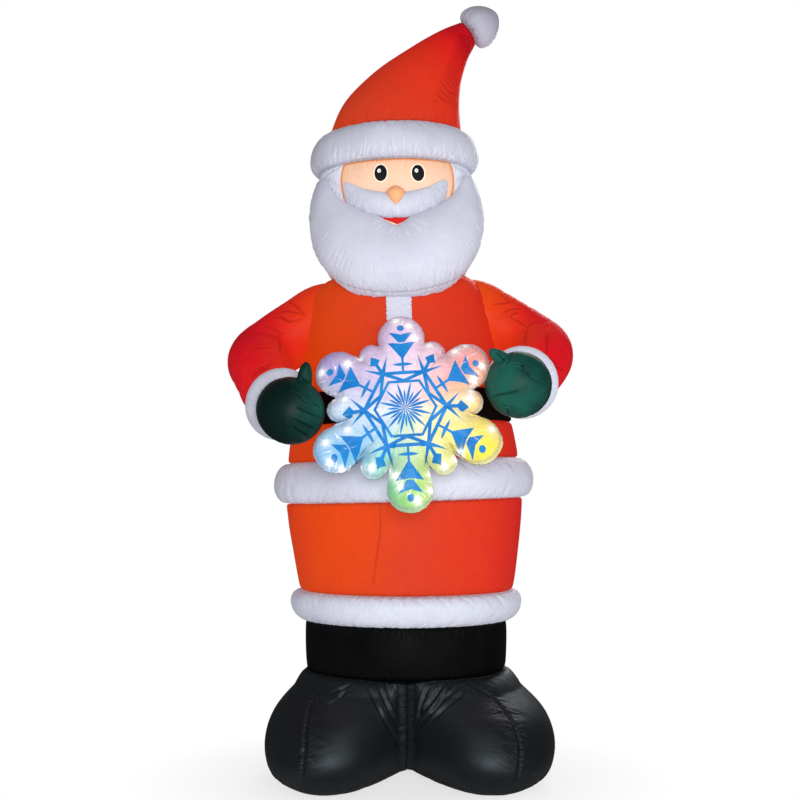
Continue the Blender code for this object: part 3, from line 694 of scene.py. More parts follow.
def from_frame(node, voxel, rounds, levels=2):
    """A rounded, evenly meshed copy of one of the frame's solids."""
    source = frame["nodes"][node]
    bpy.ops.object.select_all(action="DESELECT")
    piece = source.copy()
    piece.data = source.data.copy()
    piece.parent = None
    piece.matrix_world = source.matrix_world
    bpy.context.scene.collection.objects.link(piece)
    piece.name = node + "_cloth"
    piece.data.name = piece.name
    piece.data.materials.clear()
    piece.select_set(True)
    bpy.context.view_layer.objects.active = piece
    bpy.ops.object.mode_set(mode="EDIT")
    bpy.ops.mesh.select_all(action="SELECT")
    bpy.ops.mesh.remove_doubles(threshold=0.0001)
    bpy.ops.mesh.tris_convert_to_quads(face_threshold=BLUNT, shape_threshold=BLUNT)
    bpy.ops.object.mode_set(mode="OBJECT")
    finish_place(piece, Matrix.Identity(4))
    apply_modifier(piece, "SUBSURF", levels=levels, render_levels=levels)
    apply_modifier(piece, "REMESH", mode="VOXEL", voxel_size=voxel)
    apply_modifier(piece, "SMOOTH", factor=0.5, iterations=rounds)
    piece.data.shade_smooth()
    return piece


print("skins can start from any of", len(frame["nodes"]), "nodes")

# %% [markdown]
# The boots are sewn together along the middle, with a round arc over each toe. Their
# edges are eased out to the seams, then the seams crease them.


# %% Boots
def meet_in_the_middle(boot, side):
    """Smoothing draws the inner wall back a little, so it is eased out to the seam again."""
    points, normals = mesh_points(boot)
    off = (points[:, 0] - AXIS.x) * side
    points[:, 0] -= side * off.min() * np.exp(-((off / 0.06) ** 2))
    facing = np.clip((-normals[:, 0] * side - 0.35) / 0.4, 0, 1)
    for _ in range(3):
        off = (points[:, 0] - AXIS.x) * side
        points[:, 0] -= side * off * facing * np.clip(1 - off / 0.030, 0, 1)
    move_points(boot, points)


def reach_the_shaft(boot):
    """The top edge is drawn in as well, so it is eased out to the shaft's seam."""
    points, normals = mesh_points(boot)
    out = points[:, :2] - np.array(AXIS)[:2]
    distance = np.hypot(out[:, 0], out[:, 1])
    near_top = np.clip((points[:, 2] - 0.39) / 0.09, 0, 1) ** 1.5
    outer = np.clip((distance - 0.25) / 0.2, 0, 1)
    missing = np.clip(0.474 - distance, 0, 0.05)
    push = (missing * near_top * outer) / np.maximum(distance, 0.01)
    points[:, :2] += out * push[:, None]
    lift = np.clip((points[:, 2] - 0.425) / 0.045, 0, 1) * outer
    points[:, 2] += np.maximum(0.4885 - points[:, 2], 0) * lift * 0.85
    move_points(boot, points)


def sole_line(boot, height):
    """The outline of a boot at one height, as a closed seam."""
    points, normals = mesh_points(boot)
    centre = boot_middle(points)
    level = points[np.abs(points[:, 2] - height) < 0.008]
    angle = np.arctan2(level[:, 1] - centre[1], level[:, 0] - centre[0])
    line = []
    for a in np.arange(-math.pi, math.pi, math.tau / 180):
        line.append(level[np.abs(angle - a).argmin()])
    line = np.array(line)
    for _ in range(6):
        line = (np.roll(line, 1, axis=0) + 2 * line + np.roll(line, -1, axis=0)) / 4
    return line


def boot_middle(points):
    """The middle of the boot's box."""
    return (points.min(axis=0) + points.max(axis=0)) / 2


TOE_ARCS = {1: [(470, 684), (494, 698), (513, 722), (521, 748), (519, 775)],
            -1: [(328, 681), (313, 697), (306, 722), (304, 748), (302, 775)]}
MIDDLE_SEAM = [(407, 688), (407, 715), (408, 756)]
TOP_FOLDS = {1: [[(429, 686), (420, 708), (414, 735)], [(452, 682), (436, 706), (418, 728)],
                 [(444, 683), (432, 700), (416, 718)], [(470, 687), (449, 704), (430, 722)],
                 [(462, 684), (446, 697), (430, 712)]],
             -1: [[(369, 688), (385, 720), (402, 752)], [(378, 684), (388, 706), (400, 730)],
                  [(352, 682), (343, 688), (331, 692)], [(347, 690), (336, 700), (325, 704)]]}

for name, side in (("left_boot", 1), ("right_boot", -1)):
    boot = from_frame(name, 0.0075, 12)
    meet_in_the_middle(boot, side)
    reach_the_shaft(boot)
    arc = seen_line(boot, TOE_ARCS[side], 120)
    middle = seen_line(boot, [(x + 2 * side, y) for x, y in MIDDLE_SEAM], 80)
    fold(boot, [arc], 0.006, 0.012)
    press(boot, TOP_FOLDS[side], 0.011, 0.009, 60)
    crease(boot, [seam_circle(0, BOOT_TOP, BOOT_TOP_RADIUS, UPRIGHT), sole_line(boot, 0.05), middle, arc],
           spacing=0.026, length=0.12, depth=0.0045, slant=0.3, seed=61 + side)
    slacken(boot, 0.36, 0.006, 63 + side)
    meet_in_the_middle(boot, side)
    dress(boot, name)

# %% [markdown]
# The beard hangs from a sewn edge that runs round the mouth from cheek to cheek. Both
# it and the moustache are shaped before the lean, where left and right are alike.


# %% Beard
BEARD_MIDDLE = 2.665
BEARD_SPREAD = 112


def beard_edge(keys, count=150):
    """The sewn edge of the beard, round the mouth from cheek to cheek."""
    line = []
    for i in range(count):
        degrees = BEARD_SPREAD * (2 * i / (count - 1) - 1)
        a = math.radians(degrees)
        share = abs(degrees) / BEARD_SPREAD * (len(keys) - 1)
        reach = spline_point([np.array([k]) for k in keys], share)[0] * 1.011
        x, z = reach * math.sin(a), BEARD_MIDDLE - reach * math.cos(a)
        y = -(0.13 + 0.27 * math.cos(a)) * 1.011
        line.append(LEANING @ Vector((x, y, z)))
    return np.array(line)


def own_places(piece):
    """The piece's points before the lean."""
    points, normals = mesh_points(piece)
    back = np.array(LEANING.inverted())
    return points @ back[:3, :3].T + back[:3, 3]


def set_own_places(piece, points):
    """Moves the piece's points to places that are given before the lean."""
    place = np.array(LEANING)
    move_points(piece, points @ place[:3, :3].T + place[:3, 3])


def close_on_the_mouth(piece):
    """Smoothing rounds the beard's edge round the mouth, so it is eased back up to it."""
    points = own_places(piece)
    x, below = points[:, 0], BEARD_MIDDLE - points[:, 2]
    turn = np.degrees(np.abs(np.arctan2(x, below)))
    distance = np.hypot(x, below)
    steps = np.arange(0, BEARD_SPREAD + 1, BEARD_SPREAD / 5)
    edge = np.interp(turn, steps, MOUTH_EDGE)
    missing = np.interp(turn, steps, (0.006, 0.013, 0.019, 0.017, 0.012, 0.0))
    near = np.clip(1 - (distance - edge) / 0.11, 0, 1.1) ** 2
    pull = 1 - missing * near / np.maximum(distance, 0.02)
    points[:, 0] = x * pull
    points[:, 2] = BEARD_MIDDLE - below * pull
    set_own_places(piece, points)


BEARD_EDGE = (0.475, 0.484, 0.476, 0.445, 0.414, 0.406)
MOUTH_EDGE = (0.120, 0.112, 0.117, 0.150, 0.230, 0.345)
HEM = [(330, 277), (346, 286), (370, 291.5), (391, 293), (418, 291), (436, 287), (454, 281), (471, 270)]
LIP_FOLDS = [[(395, 227), (392, 230), (389, 235)], [(399, 228), (400, 232), (400, 238)],
             [(404, 228), (407, 231), (410, 236)], [(388, 223), (382, 225), (376, 230)],
             [(385, 220), (379, 221), (372, 224)], [(412, 224), (417, 227), (421, 231)],
             [(397, 228), (396, 233), (393, 238)], [(415, 221), (422, 222), (428, 226)]]
SIDE_FOLDS = [[(323, 268), (328, 258), (334, 249)], [(327, 262), (332, 252), (337, 246)],
              [(337, 268), (341, 258), (345, 249)], [(341, 273), (344, 262), (349, 254)],
              [(320, 244), (325, 238), (329, 233)], [(475, 223), (479, 228), (482, 236)],
              [(464, 240), (468, 246), (471, 254)], [(370, 284), (373, 272), (371, 262)],
              [(420, 284), (424, 270), (421, 259)], [(447, 278), (449, 268), (447, 260)],
              [(404, 286), (407, 276), (406, 268)], [(333, 266), (336, 256), (340, 247)],
              [(345, 276), (349, 266), (352, 258)], [(388, 288), (386, 278), (388, 268)],
              [(456, 272), (461, 262), (464, 250)], [(435, 282), (438, 272), (437, 262)]]
beard = from_frame("beard", 0.0055, 5)
close_on_the_mouth(beard)
press(beard, SIDE_FOLDS, 0.0032, 0.0045, 40)
press(beard, LIP_FOLDS, 0.0018, 0.0035, 40)
crease(beard, [seen_line(beard, HEM, 160), beard_edge(BEARD_EDGE)],
       spacing=0.026, length=0.12, depth=0.0048, slant=0.15, seed=71)
slacken(beard, 0.25, 0.004, 76)
dress(beard, "beard")

# %% [markdown]
# The moustache lies on the beard. Its lower edge is let down to meet it, and its
# creases start there.


# %% Moustache
HALF_MOUSTACHE = 0.245
HEAD_RADIUS = 0.374
LOWER_EDGE = ((0.0, 0.06, 0.125, 0.19, 0.228, 0.248), (2.573, 2.580, 2.601, 2.627, 2.659, 2.710))


def moustache_edge(count=120):
    """The sewn lower edge of the moustache, from tip to tip."""
    line = []
    for i in range(count):
        x = HALF_MOUSTACHE * (2 * i / (count - 1) - 1)
        y = -math.sqrt(HEAD_RADIUS**2 - x**2)
        line.append(LEANING @ Vector((x, y, np.interp(abs(x), *LOWER_EDGE))))
    return np.array(line)


def widen_moustache(piece):
    """Its lower edge is let down until it meets the beard, as the real one does."""
    points = own_places(piece)
    aside = np.abs(points[:, 0])
    steps = np.array((0, 1, 2, 3)) * HALF_MOUSTACHE / 3
    middle = 2.635 + np.interp(aside, steps, (0.0, 0.012, 0.043, 0.130))
    half = np.interp(aside, steps, (0.057, 0.056, 0.052, 0.014))
    top, bottom = middle + half, middle - half + 0.006
    wanted = np.interp(aside, *LOWER_EDGE)
    grow = (top - np.minimum(wanted, bottom)) / (top - bottom)
    below = points[:, 2] < top
    points[below, 2] = (top - (top - points[:, 2]) * grow)[below]
    set_own_places(piece, points)


moustache = from_frame("moustache", 0.004, 2)
widen_moustache(moustache)
apply_modifier(moustache, "REMESH", mode="VOXEL", voxel_size=0.004)
apply_modifier(moustache, "SMOOTH", factor=0.5, iterations=3)
moustache.data.shade_smooth()
MOUSTACHE_FOLDS = [[(398, 205), (398, 210), (398, 215)], [(368, 211), (366, 207), (365, 204)],
                   [(421, 213), (421, 209), (423, 206)], [(436, 196), (442, 192), (446, 187)],
                   [(352, 191), (349, 188), (347, 184)], [(432, 187), (437, 182), (443, 177)]]
press(moustache, MOUSTACHE_FOLDS, 0.003, 0.004, 40)
crease(moustache, [moustache_edge()], spacing=0.020, length=0.05, depth=0.003, seed=72)
dress(moustache, "moustache")

# %% [markdown]
# The nose is a small pad with one seam round it. The front strip is flat cloth, sewn
# on along both sides, so it has no air in it.


# %% Nose and front strip
def shape_nose(piece):
    """Broad and round above, drawn to a point below."""
    points = own_places(piece)
    low, high = points.min(axis=0), points.max(axis=0)
    middle = (low[0] + high[0]) / 2
    share = (points[:, 2] - low[2]) / (high[2] - low[2])
    wide = 1 + 0.42 * np.clip((share - 0.42) / 0.5, 0, 1)
    points[:, 0] = middle + (points[:, 0] - middle) * wide
    points[:, 2] -= 0.014 * (1 - share) ** 2
    set_own_places(piece, points)


nose = from_frame("nose", 0.002, 3)
shape_nose(nose)
nose_way = Vector((0, -1, 0.3)).normalized()
crease(nose, [axis_circle(Vector((0.011, -0.39, 2.66)), nose_way, 0.038, LEANING, 60)],
       spacing=0.012, length=0.03, depth=0.001, seed=73)
dress(nose, "nose")

strip = from_frame("front_strip", 0.004, 1, 1)
edges = []
for x in (-0.062, 0.062):
    edges.append(np.array([LEANING @ Vector((x, -0.47, 1.8 + 0.01 * i)) for i in range(48)]))
crease(strip, edges, spacing=0.03, length=0.04, depth=0.001, seed=74, groove=0.0)
dress(strip, "front_strip")

# %% [markdown]
# The snowflake is a flat cushion. One ring of edges in its lobed outline is extruded
# inwards until it closes. Every point then rises by how far it is from the rim, the
# mirror modifier adds the back, and the whole cushion is tipped as the hands hold it.

# %% Snowflake
FLAKE_TURN = Matrix.Rotation(math.radians(-12), 4, "X")
FLAKE_ROLL = Matrix.Rotation(math.radians(-1.9), 4, "Y")
FLAKE_PLACE = LEANING @ Matrix.Translation(FLAKE_CENTRE) @ FLAKE_ROLL @ FLAKE_TURN


def lobes():
    """(direction, distance, radius) of the twelve round lobes, from the right round."""
    rows = []
    for i in range(12):
        large = i % 2 == 1
        way = math.radians(30 * i)
        distance = (0.335 if large else 0.279) * (1 - (0.092 if large else 0.075) * math.sin(way))
        rows.append((way, distance, 0.104 if large else 0.0595))
    return rows


def flake_reach(a):
    """How far the snowflake's rim is from its middle, in these directions."""
    reach = np.full(len(a), 0.285)
    for way, distance, radius in lobes():
        off = distance * np.sin(a - way)
        hit = (np.abs(off) < radius) & (np.cos(a - way) > 0)
        far = distance * np.cos(a - way) + np.sqrt(np.maximum(radius**2 - off**2, 0))
        take = hit & (far > reach)
        reach[take] = far[take]
    return reach


SIDES = 540
STEPS = 44
RIM_POINTS = 1440
RIM_WIDTH = 0.085
bpy.ops.object.select_all(action="DESELECT")
bpy.ops.mesh.primitive_circle_add(vertices=SIDES, radius=1, fill_type="NOTHING", location=(0, 0, 0))
flake = named("snowflake_cloth")
bpy.ops.object.mode_set(mode="EDIT")
bpy.ops.mesh.select_all(action="SELECT")
shares = [1 - (i / STEPS) ** 1.25 for i in range(STEPS)]
for before, share in zip(shares, shares[1:]):
    bpy.ops.mesh.extrude_region_move()
    bpy.ops.transform.resize(value=(share / before,) * 3, center_override=(0, 0, 0))
bpy.ops.mesh.merge(type="CENTER")
bpy.ops.object.mode_set(mode="OBJECT")
points, normals = mesh_points(flake)
angle = np.arctan2(points[:, 1], points[:, 0])
share = np.hypot(points[:, 0], points[:, 1])
reach = flake_reach(angle)
x, z = share * reach * np.cos(angle), share * reach * np.sin(angle)
rim_angle = np.arange(0, math.tau, math.tau / RIM_POINTS)
rim_reach = flake_reach(rim_angle)
rim = np.stack([rim_reach * np.cos(rim_angle), rim_reach * np.sin(rim_angle)], axis=1)
edge = np.empty(len(points))
for first in range(0, len(points), AT_ONCE):
    part = np.stack([x, z], axis=1)[first:first + AT_ONCE]
    edge[first:first + AT_ONCE] = np.linalg.norm(part[:, None] - rim[None], axis=2).min(axis=1)
rise = np.sqrt(np.clip(1 - (1 - np.clip(edge / RIM_WIDTH, 0, 1)) ** 2.2, 0, 1))
height = (0.045 + 0.065 * np.sqrt(np.clip(1 - share**2.4, 0, 1))) * rise
move_points(flake, np.stack([x, -height, z], axis=1))
apply_modifier(flake, "MIRROR", use_axis=(False, True, False), use_clip=True,
               merge_threshold=0.0005)
bpy.ops.object.mode_set(mode="EDIT")
bpy.ops.mesh.select_all(action="SELECT")
bpy.ops.mesh.remove_doubles(threshold=0.0002)
bpy.ops.mesh.normals_make_consistent(inside=False)
bpy.ops.object.mode_set(mode="OBJECT")
finish_place(flake, FLAKE_PLACE)
apply_modifier(flake, "SMOOTH", factor=0.5, iterations=2)
flake.data.shade_smooth()
rim_seam = np.array([FLAKE_PLACE @ Vector((float(u), 0.0, float(v))) for u, v in rim[::3]])
crease(flake, [rim_seam], spacing=0.017, length=0.07, depth=0.0028, slant=0.2, seed=75, groove=0.0)
slacken(flake, 0.12, 0.004, 77)
dress(flake, "snowflake")

# %% [markdown]
# The head is a rounded stack between the collar and the hat's trim. The trim has two
# kinds of gathers: those of its seams, and short ones along its lower front edge.

# %% Head and hat trim
skull = [(NECK, 0.28), (NECK, 0.312), (NECK, NECK_RADIUS), (2.385, 0.342), (2.44, 0.361),
         (2.52, 0.371), (2.60, HEAD_RADIUS), (2.75, 0.372), (BROW, BROW_RADIUS), (BROW, 0.356),
         (BROW, 0.32)]
head = ring_stack("head_cloth", [(0, z, radius, 0) for z, radius in skull], LEANING, 64)
ends = [seam_circle(0, NECK, NECK_RADIUS, LEANING), seam_circle(0, BROW, BROW_RADIUS, LEANING)]
crease(head, ends,
       spacing=0.05, length=0.06, depth=0.0015, seed=25)
HAIR_FOLDS = [[(319, 182), (329, 173), (341, 166)], [(321, 184), (334, 192), (347, 201)],
              [(326, 178), (333, 182), (339, 186)], [(473, 175), (462, 170), (453, 165)],
              [(472, 178), (461, 187), (450, 199)], [(467, 175), (461, 178), (456, 182)]]
press(head, HAIR_FOLDS, 0.006, 0.006, 50)
dress(head, "head")

hat_trim = tube("hat_trim_cloth", (BROW, BROW_RADIUS), (HAT, HAT_RADIUS), 0.063, LEANING,
                112, spacing=0.026, length=0.12, depth=0.0042, slant=0.40, seed=26)
rng = np.random.default_rng(11)
puckers = []
for x in np.arange(332, 466, 5.2):
    start = x + rng.uniform(-2, 2)
    low = 155.5 + 14 * ((start - 399) / 75) ** 2
    lean = (399 - start) * 0.06 + rng.uniform(-4, 4)
    tall = rng.uniform(9, 21)
    puckers.append([(start, low), (start + 0.4 * lean, low - 0.5 * tall), (start + lean, low - tall)])
press(hat_trim, puckers, 0.0022, 0.0034, 40)
dress(hat_trim, "hat_trim")

# %% [markdown]
# The hat is a ring stack whose rings move sideways and tip further and further, so
# the horn bends over. The pompom is a puffed ball on its tip.

# %% Hat and pompom
TALL = 0.503
TIP_TILT = 57
TIP_RADIUS = 0.067
FOOT_SHIFT, TIP_SHIFT = 0.004, 0.380
# (sideways, share of the height, share of the foot's radius, tilt) of each ring
HORN = [(FOOT_SHIFT, 0, 1.0, 0), (0.030, 0.221, 0.906, 6.5), (0.076, 0.394, 0.775, 10),
        (0.130, 0.563, 0.642, 15), (0.195, 0.689, 0.497, 22), (0.265, 0.830, 0.365, 30),
        (0.325, 0.934, 0.144 + 0.62 * TIP_RADIUS / HAT_RADIUS, 39)]
hat_rings = [(FOOT_SHIFT, HAT, radius, 0) for radius in (0.29, 0.315)]
hat_rings += [(x, HAT + rise * TALL, share * HAT_RADIUS, tilt) for x, rise, share, tilt in HORN]
hat_rings += [(TIP_SHIFT, HAT + TALL, radius, TIP_TILT) for radius in (TIP_RADIUS, 0.062, 0.05)]
hat = ring_stack("hat_cloth", hat_rings, LEANING, 72)
tip_seam = seam_circle(TIP_SHIFT, HAT + TALL, TIP_RADIUS, LEANING, TIP_TILT, 80)
crease(hat, [seam_circle(FOOT_SHIFT, HAT, HAT_RADIUS, LEANING), tip_seam],
       spacing=0.03, length=0.10, depth=0.004, seed=27)
ribs = []
for i in range(26):
    ribs.append([(434 + 0.95 * i, 100 - 2.6 * i), (447 + 0.85 * i, 102.5 - 2.65 * i),
                 (459 + 0.65 * i, 111 - 2.8 * i)])
press(hat, ribs, 0.0045, 0.0036, 50)
slacken(hat, 0.35, 0.006, 30)
dress(hat, "hat")

BALL_HEIGHT = 0.166
tip_place = LEANING @ Matrix.Translation((TIP_SHIFT, 0, HAT + TALL))
tip_place = tip_place @ Matrix.Rotation(math.radians(TIP_TILT), 4, "Y")
ball = [(0, 0, 0.05, 0), (0, 0, 0.062, 0)]
for i in range(8):
    a = math.pi * (1 - i / 8)
    swell = (0.100 - TIP_RADIUS / 2) * math.sin(a)
    radius = TIP_RADIUS * (1 - math.cos(a)) / 2 + swell
    ball.append((0, BALL_HEIGHT * (1 + math.cos(a)) / 2, radius, 0))
pompom = ring_stack("pompom_cloth", ball + [(0, BALL_HEIGHT, 0.012, 0)], tip_place, 32)
crease(pompom, [seam_circle(0, 0, TIP_RADIUS, tip_place, 0, 90)],
       spacing=0.018, length=0.13, depth=0.0065, slant=0.1, seed=28)
dress(pompom, "pompom")

# %% [markdown]
# A shader is easier to read as a sum than as a plate of nodes. This small class lets
# plain arithmetic build Math nodes, so a printed shape can be written as a formula.


# %% Shader arithmetic
class Field:
    """One value in a node tree. Sums with it add Math nodes to that tree."""

    def __init__(self, tree, socket):
        self.tree = tree
        self.socket = socket

    def made(self, operation, *others, clamp=False):
        step = self.tree.nodes.new("ShaderNodeMath")
        step.operation = operation
        step.use_clamp = clamp
        for place, value in enumerate((self, *others)):
            if isinstance(value, Field):
                self.tree.links.new(value.socket, step.inputs[place])
            else:
                step.inputs[place].default_value = value
        return Field(self.tree, step.outputs[0])

    def __add__(self, other):
        return self.made("ADD", other)

    def __sub__(self, other):
        return self.made("SUBTRACT", other)

    def __mul__(self, other):
        return self.made("MULTIPLY", other)

    def __truediv__(self, other):
        return self.made("DIVIDE", other)

    def __abs__(self):
        return self.made("ABSOLUTE")

    def lower(self, other):
        return self.made("MINIMUM", other)

    def higher(self, other):
        return self.made("MAXIMUM", other)

    def less_from(self, value):
        """value minus this field."""
        return (self * -1.0) + value

    def inside(self, soft):
        """1 where the field is above zero, 0 where it is below, blurred over soft metres."""
        return (self * (1 / soft)).made("ADD", 0.5, clamp=True)


def put(tree, kind, inputs=None, **settings):
    """Adds a node, with a value or a link for each named input."""
    step = tree.nodes.new("ShaderNode" + kind)
    for key, value in settings.items():
        setattr(step, key, value)
    for slot, value in (inputs or {}).items():
        if isinstance(value, Field):
            tree.links.new(value.socket, step.inputs[slot])
        elif isinstance(value, bpy.types.NodeSocket):
            tree.links.new(value, step.inputs[slot])
        else:
            step.inputs[slot].default_value = value
    return step


def noise(tree, place, scale, detail):
    """A cloudy value between 0 and 1."""
    cloud = put(tree, "TexNoise", {"Vector": place, "Scale": scale, "Detail": detail})
    return Field(tree, cloud.outputs[0])


def kept(tree, name, output="Vector"):
    """What the mesh keeps at each point under this name."""
    return put(tree, "Attribute", attribute_name=name).outputs[output]


def grey(tree, value):
    """A value as a colour."""
    return put(tree, "CombineColor", {"Red": value, "Green": value, "Blue": value}).outputs[0]


def split(tree, vector):
    """The three parts of a vector."""
    parts = put(tree, "SeparateXYZ", {0: vector})
    return [Field(tree, parts.outputs[i]) for i in range(3)]


def ramp(tree, factor, stops):
    """stops are (place, colour) rows."""
    step = put(tree, "ValToRGB", {"Fac": factor})
    band = step.color_ramp
    band.elements[0].position, band.elements[0].color = stops[0][0], (*stops[0][1], 1)
    band.elements[1].position, band.elements[1].color = stops[-1][0], (*stops[-1][1], 1)
    for place, colour in stops[1:-1]:
        band.elements.new(place).color = (*colour, 1)
    return step.outputs["Color"]


def blend_colours(tree, factor, first, second, how="MIX"):
    """The first colour where the factor is 0, the second where it is 1."""
    step = put(tree, "Mix", data_type="RGBA", blend_type=how)
    for slot, value in ((0, factor), (6, first), (7, second)):
        if isinstance(value, Field):
            tree.links.new(value.socket, step.inputs[slot])
        elif isinstance(value, bpy.types.NodeSocket):
            tree.links.new(value, step.inputs[slot])
        else:
            step.inputs[slot].default_value = value if isinstance(value, float) else (*value, 1)
    return step.outputs[2]


print("a Field adds, scales and folds values inside a node tree")

# %% [markdown]
# Two effects are on every piece, so each is a node group. The first is the cloth: a
# fine square weave with the soft crackle of coated nylon, whose low places also get a
# little painted shade. The second reads the seam places that were kept on the mesh and
# draws the small gathers next to each seam, as relief and as painted highlights and
# shade. The streaks end where another seam comes nearer.


# %% Shared cloth effects
def group(name, sockets_in, sockets_out):
    """An empty node group with these inputs and outputs."""
    tree = bpy.data.node_groups.new(name, "ShaderNodeTree")
    for label, kind, value in sockets_in:
        socket = tree.interface.new_socket(name=label, in_out="INPUT", socket_type=kind)
        if value is not None:
            socket.default_value = value
    for label, kind in sockets_out:
        tree.interface.new_socket(name=label, in_out="OUTPUT", socket_type=kind)
    return tree, tree.nodes.new("NodeGroupInput"), tree.nodes.new("NodeGroupOutput")


cloth_group, given, result = group(
    "thin_cloth", [("Place", "NodeSocketVector", None), ("Crackle size", "NodeSocketFloat", 30.0)],
    [("Height", "NodeSocketFloat"), ("Shade", "NodeSocketFloat")])
px, py, pz = split(cloth_group, given.outputs["Place"])
weave_x = (px * (math.tau / 0.006)).made("SINE")
weave_z = (pz * (math.tau / 0.006)).made("SINE")
weave = weave_x * weave_z
crackle = put(cloth_group, "TexNoise", {"Vector": given.outputs["Place"], "Detail": 5.0,
                                        "Scale": given.outputs["Crackle size"],
                                        "Roughness": 0.55, "Distortion": 0.6})
folds = put(cloth_group, "TexVoronoi", {"Vector": given.outputs["Place"], "Scale": 9.0},
            feature="SMOOTH_F1")
crackle_value = Field(cloth_group, crackle.outputs[0])
cloth_height = crackle_value * 0.0005 + Field(cloth_group, folds.outputs[0]) * 0.0016 + weave * 0.00004
cloth_group.links.new(cloth_height.socket, result.inputs["Height"])
# painted shade: the colour is a little darker where the crackle's relief is low
shade = (crackle_value - 0.5) * 0.16 + 1.0
cloth_group.links.new(shade.socket, result.inputs["Shade"])

seam_group, given, result = group(
    "seam_gathers", [("Seam", "NodeSocketVector", None), ("Reach", "NodeSocketFloat", 0.05)],
    [("Height", "NodeSocketFloat"), ("Edge", "NodeSocketFloat"), ("Painted streak shading", "NodeSocketFloat")])
along, away, unused = split(seam_group, given.outputs["Seam"])
reach = Field(seam_group, given.outputs["Reach"])
streak_place = put(seam_group, "CombineXYZ", {"X": along * 52.0 + away * 13.0, "Y": away * 7.0})
streaks = put(seam_group, "TexNoise", {"Vector": streak_place.outputs[0], "Scale": 1.0, "Detail": 3.0,
                                       "Roughness": 0.6})
fade = (away / reach * -1.0).made("EXPONENT")
thin = (abs(Field(seam_group, streaks.outputs[0]) - 0.5) * 11.0).less_from(1.0).higher(0.0)
streak = (thin * thin - 0.22) * fade
seam_group.links.new((streak * 0.0022).socket, result.inputs["Height"])
seam_group.links.new(((away * -260.0).made("EXPONENT")).socket, result.inputs["Edge"])
seam_group.links.new(streak.socket, result.inputs["Painted streak shading"])


def use_group(tree, group_tree, inputs):
    """Puts a node group into a tree."""
    return put(tree, "Group", inputs, node_tree=group_tree)


def cloth_material(name, colour, rough, gloss, glow, streaks, edge=0.75, reach=0.06, relief=1.0,
                   painted_fold_shading=0.3):
    """colour is a function that makes the colour socket from the tree and the object's place.

    streaks says how much painted highlight and shade the gathers get, edge how much the
    seams darken the cloth, and the fold number how much painted shade falls along the
    folds; a negative one paints a highlight on them instead. glow is painted glow: the
    cloth gives off its own colour, in place of the lamps inside."""
    material = bpy.data.materials.new(name)
    material.use_nodes = True
    tree = material.node_tree
    shader = tree.nodes["Principled BSDF"]
    place = put(tree, "TexCoord").outputs["Object"]
    cloth = use_group(tree, cloth_group, {"Place": place})
    gathers = use_group(tree, seam_group, {"Seam": kept(tree, "seam"), "Reach": reach})
    tint = colour(tree, place)
    shade = Field(tree, cloth.outputs["Shade"]) * (Field(tree, gathers.outputs["Edge"]) * -edge + 1.0)
    # painted highlight and shade: the gathers' ridges are lightened and their hollows darkened
    shade = shade * (Field(tree, gathers.outputs["Painted streak shading"]) * streaks + 1.0)
    # painted shade along the folds, or a painted highlight where the fold number is negative
    shade = shade * (Field(tree, kept(tree, "painted_fold_shading", "Fac")) * -painted_fold_shading + 1.0)
    final = blend_colours(tree, 1.0, tint, grey(tree, shade), "MULTIPLY")
    tree.links.new(final, shader.inputs["Base Color"])
    height = Field(tree, cloth.outputs["Height"]) + Field(tree, gathers.outputs["Height"])
    bump = put(tree, "Bump", {"Height": height, "Strength": relief, "Distance": 1.0})
    tree.links.new(bump.outputs["Normal"], shader.inputs["Normal"])
    shader.inputs["Roughness"].default_value = rough
    shader.inputs["Specular IOR Level"].default_value = gloss
    # painted glow: the cloth gives off its own colour in place of the lamps inside, which flattens its
    # shading
    if glow:
        tree.links.new(final, shader.inputs["Emission Color"])
        shader.inputs["Emission Strength"].default_value = glow
    return material


print("shared effects:", cloth_group.name, "and", seam_group.name)

# %% [markdown]
# Light from the lamps inside is painted into the red cloth: orange on one side of the front,
# deepening to painted crimson shade round the other and up the hat. The sleeves get painted
# shade further out, the white painted shade at its top and left and a painted lift low down,
# and the green a painted highlight near the snowflake and to the right. Every colour also
# varies in slow clouds.


# %% Red, white, black and green cloth
def red_colour_with_painted_light(tree, place):
    x, y, z = split(tree, place)
    # painted light and shade: orange on the left of the front, crimson to the right, the back and up the
    # hat; the cloud is the cloth's own tone
    turn = (x - AXIS.x) * 0.72 + (y - AXIS.y) * 0.30 + 0.52
    turn = turn + (noise(tree, place, 2.2, 2.0) - 0.5) * 0.20 + (z - 2.95).higher(0.0) * 0.55
    return ramp(tree, turn, [(0.0, (0.41, 0.018, 0.004)), (0.14, (0.42, 0.034, 0.003)),
                             (0.36, (0.345, 0.026, 0.009)), (0.66, (0.38, 0.019, 0.007)),
                             (0.92, (0.36, 0.007, 0.006)), (1.0, (0.26, 0.003, 0.006))])


def sleeve_colour_with_painted_shade(tree, place):
    x, y, z = split(tree, place)
    # painted shade: deeper crimson further out from the body; the cloud is the cloth's own tone
    reach = abs(x - AXIS.x) * 1.9 - 0.65 + (noise(tree, place, 4.0, 3.0) - 0.5) * 0.7
    return ramp(tree, reach, [(0.0, (0.43, 0.034, 0.004)), (0.36, (0.41, 0.016, 0.006)),
                              (0.72, (0.37, 0.003, 0.008)), (1.0, (0.30, 0.002, 0.006))])


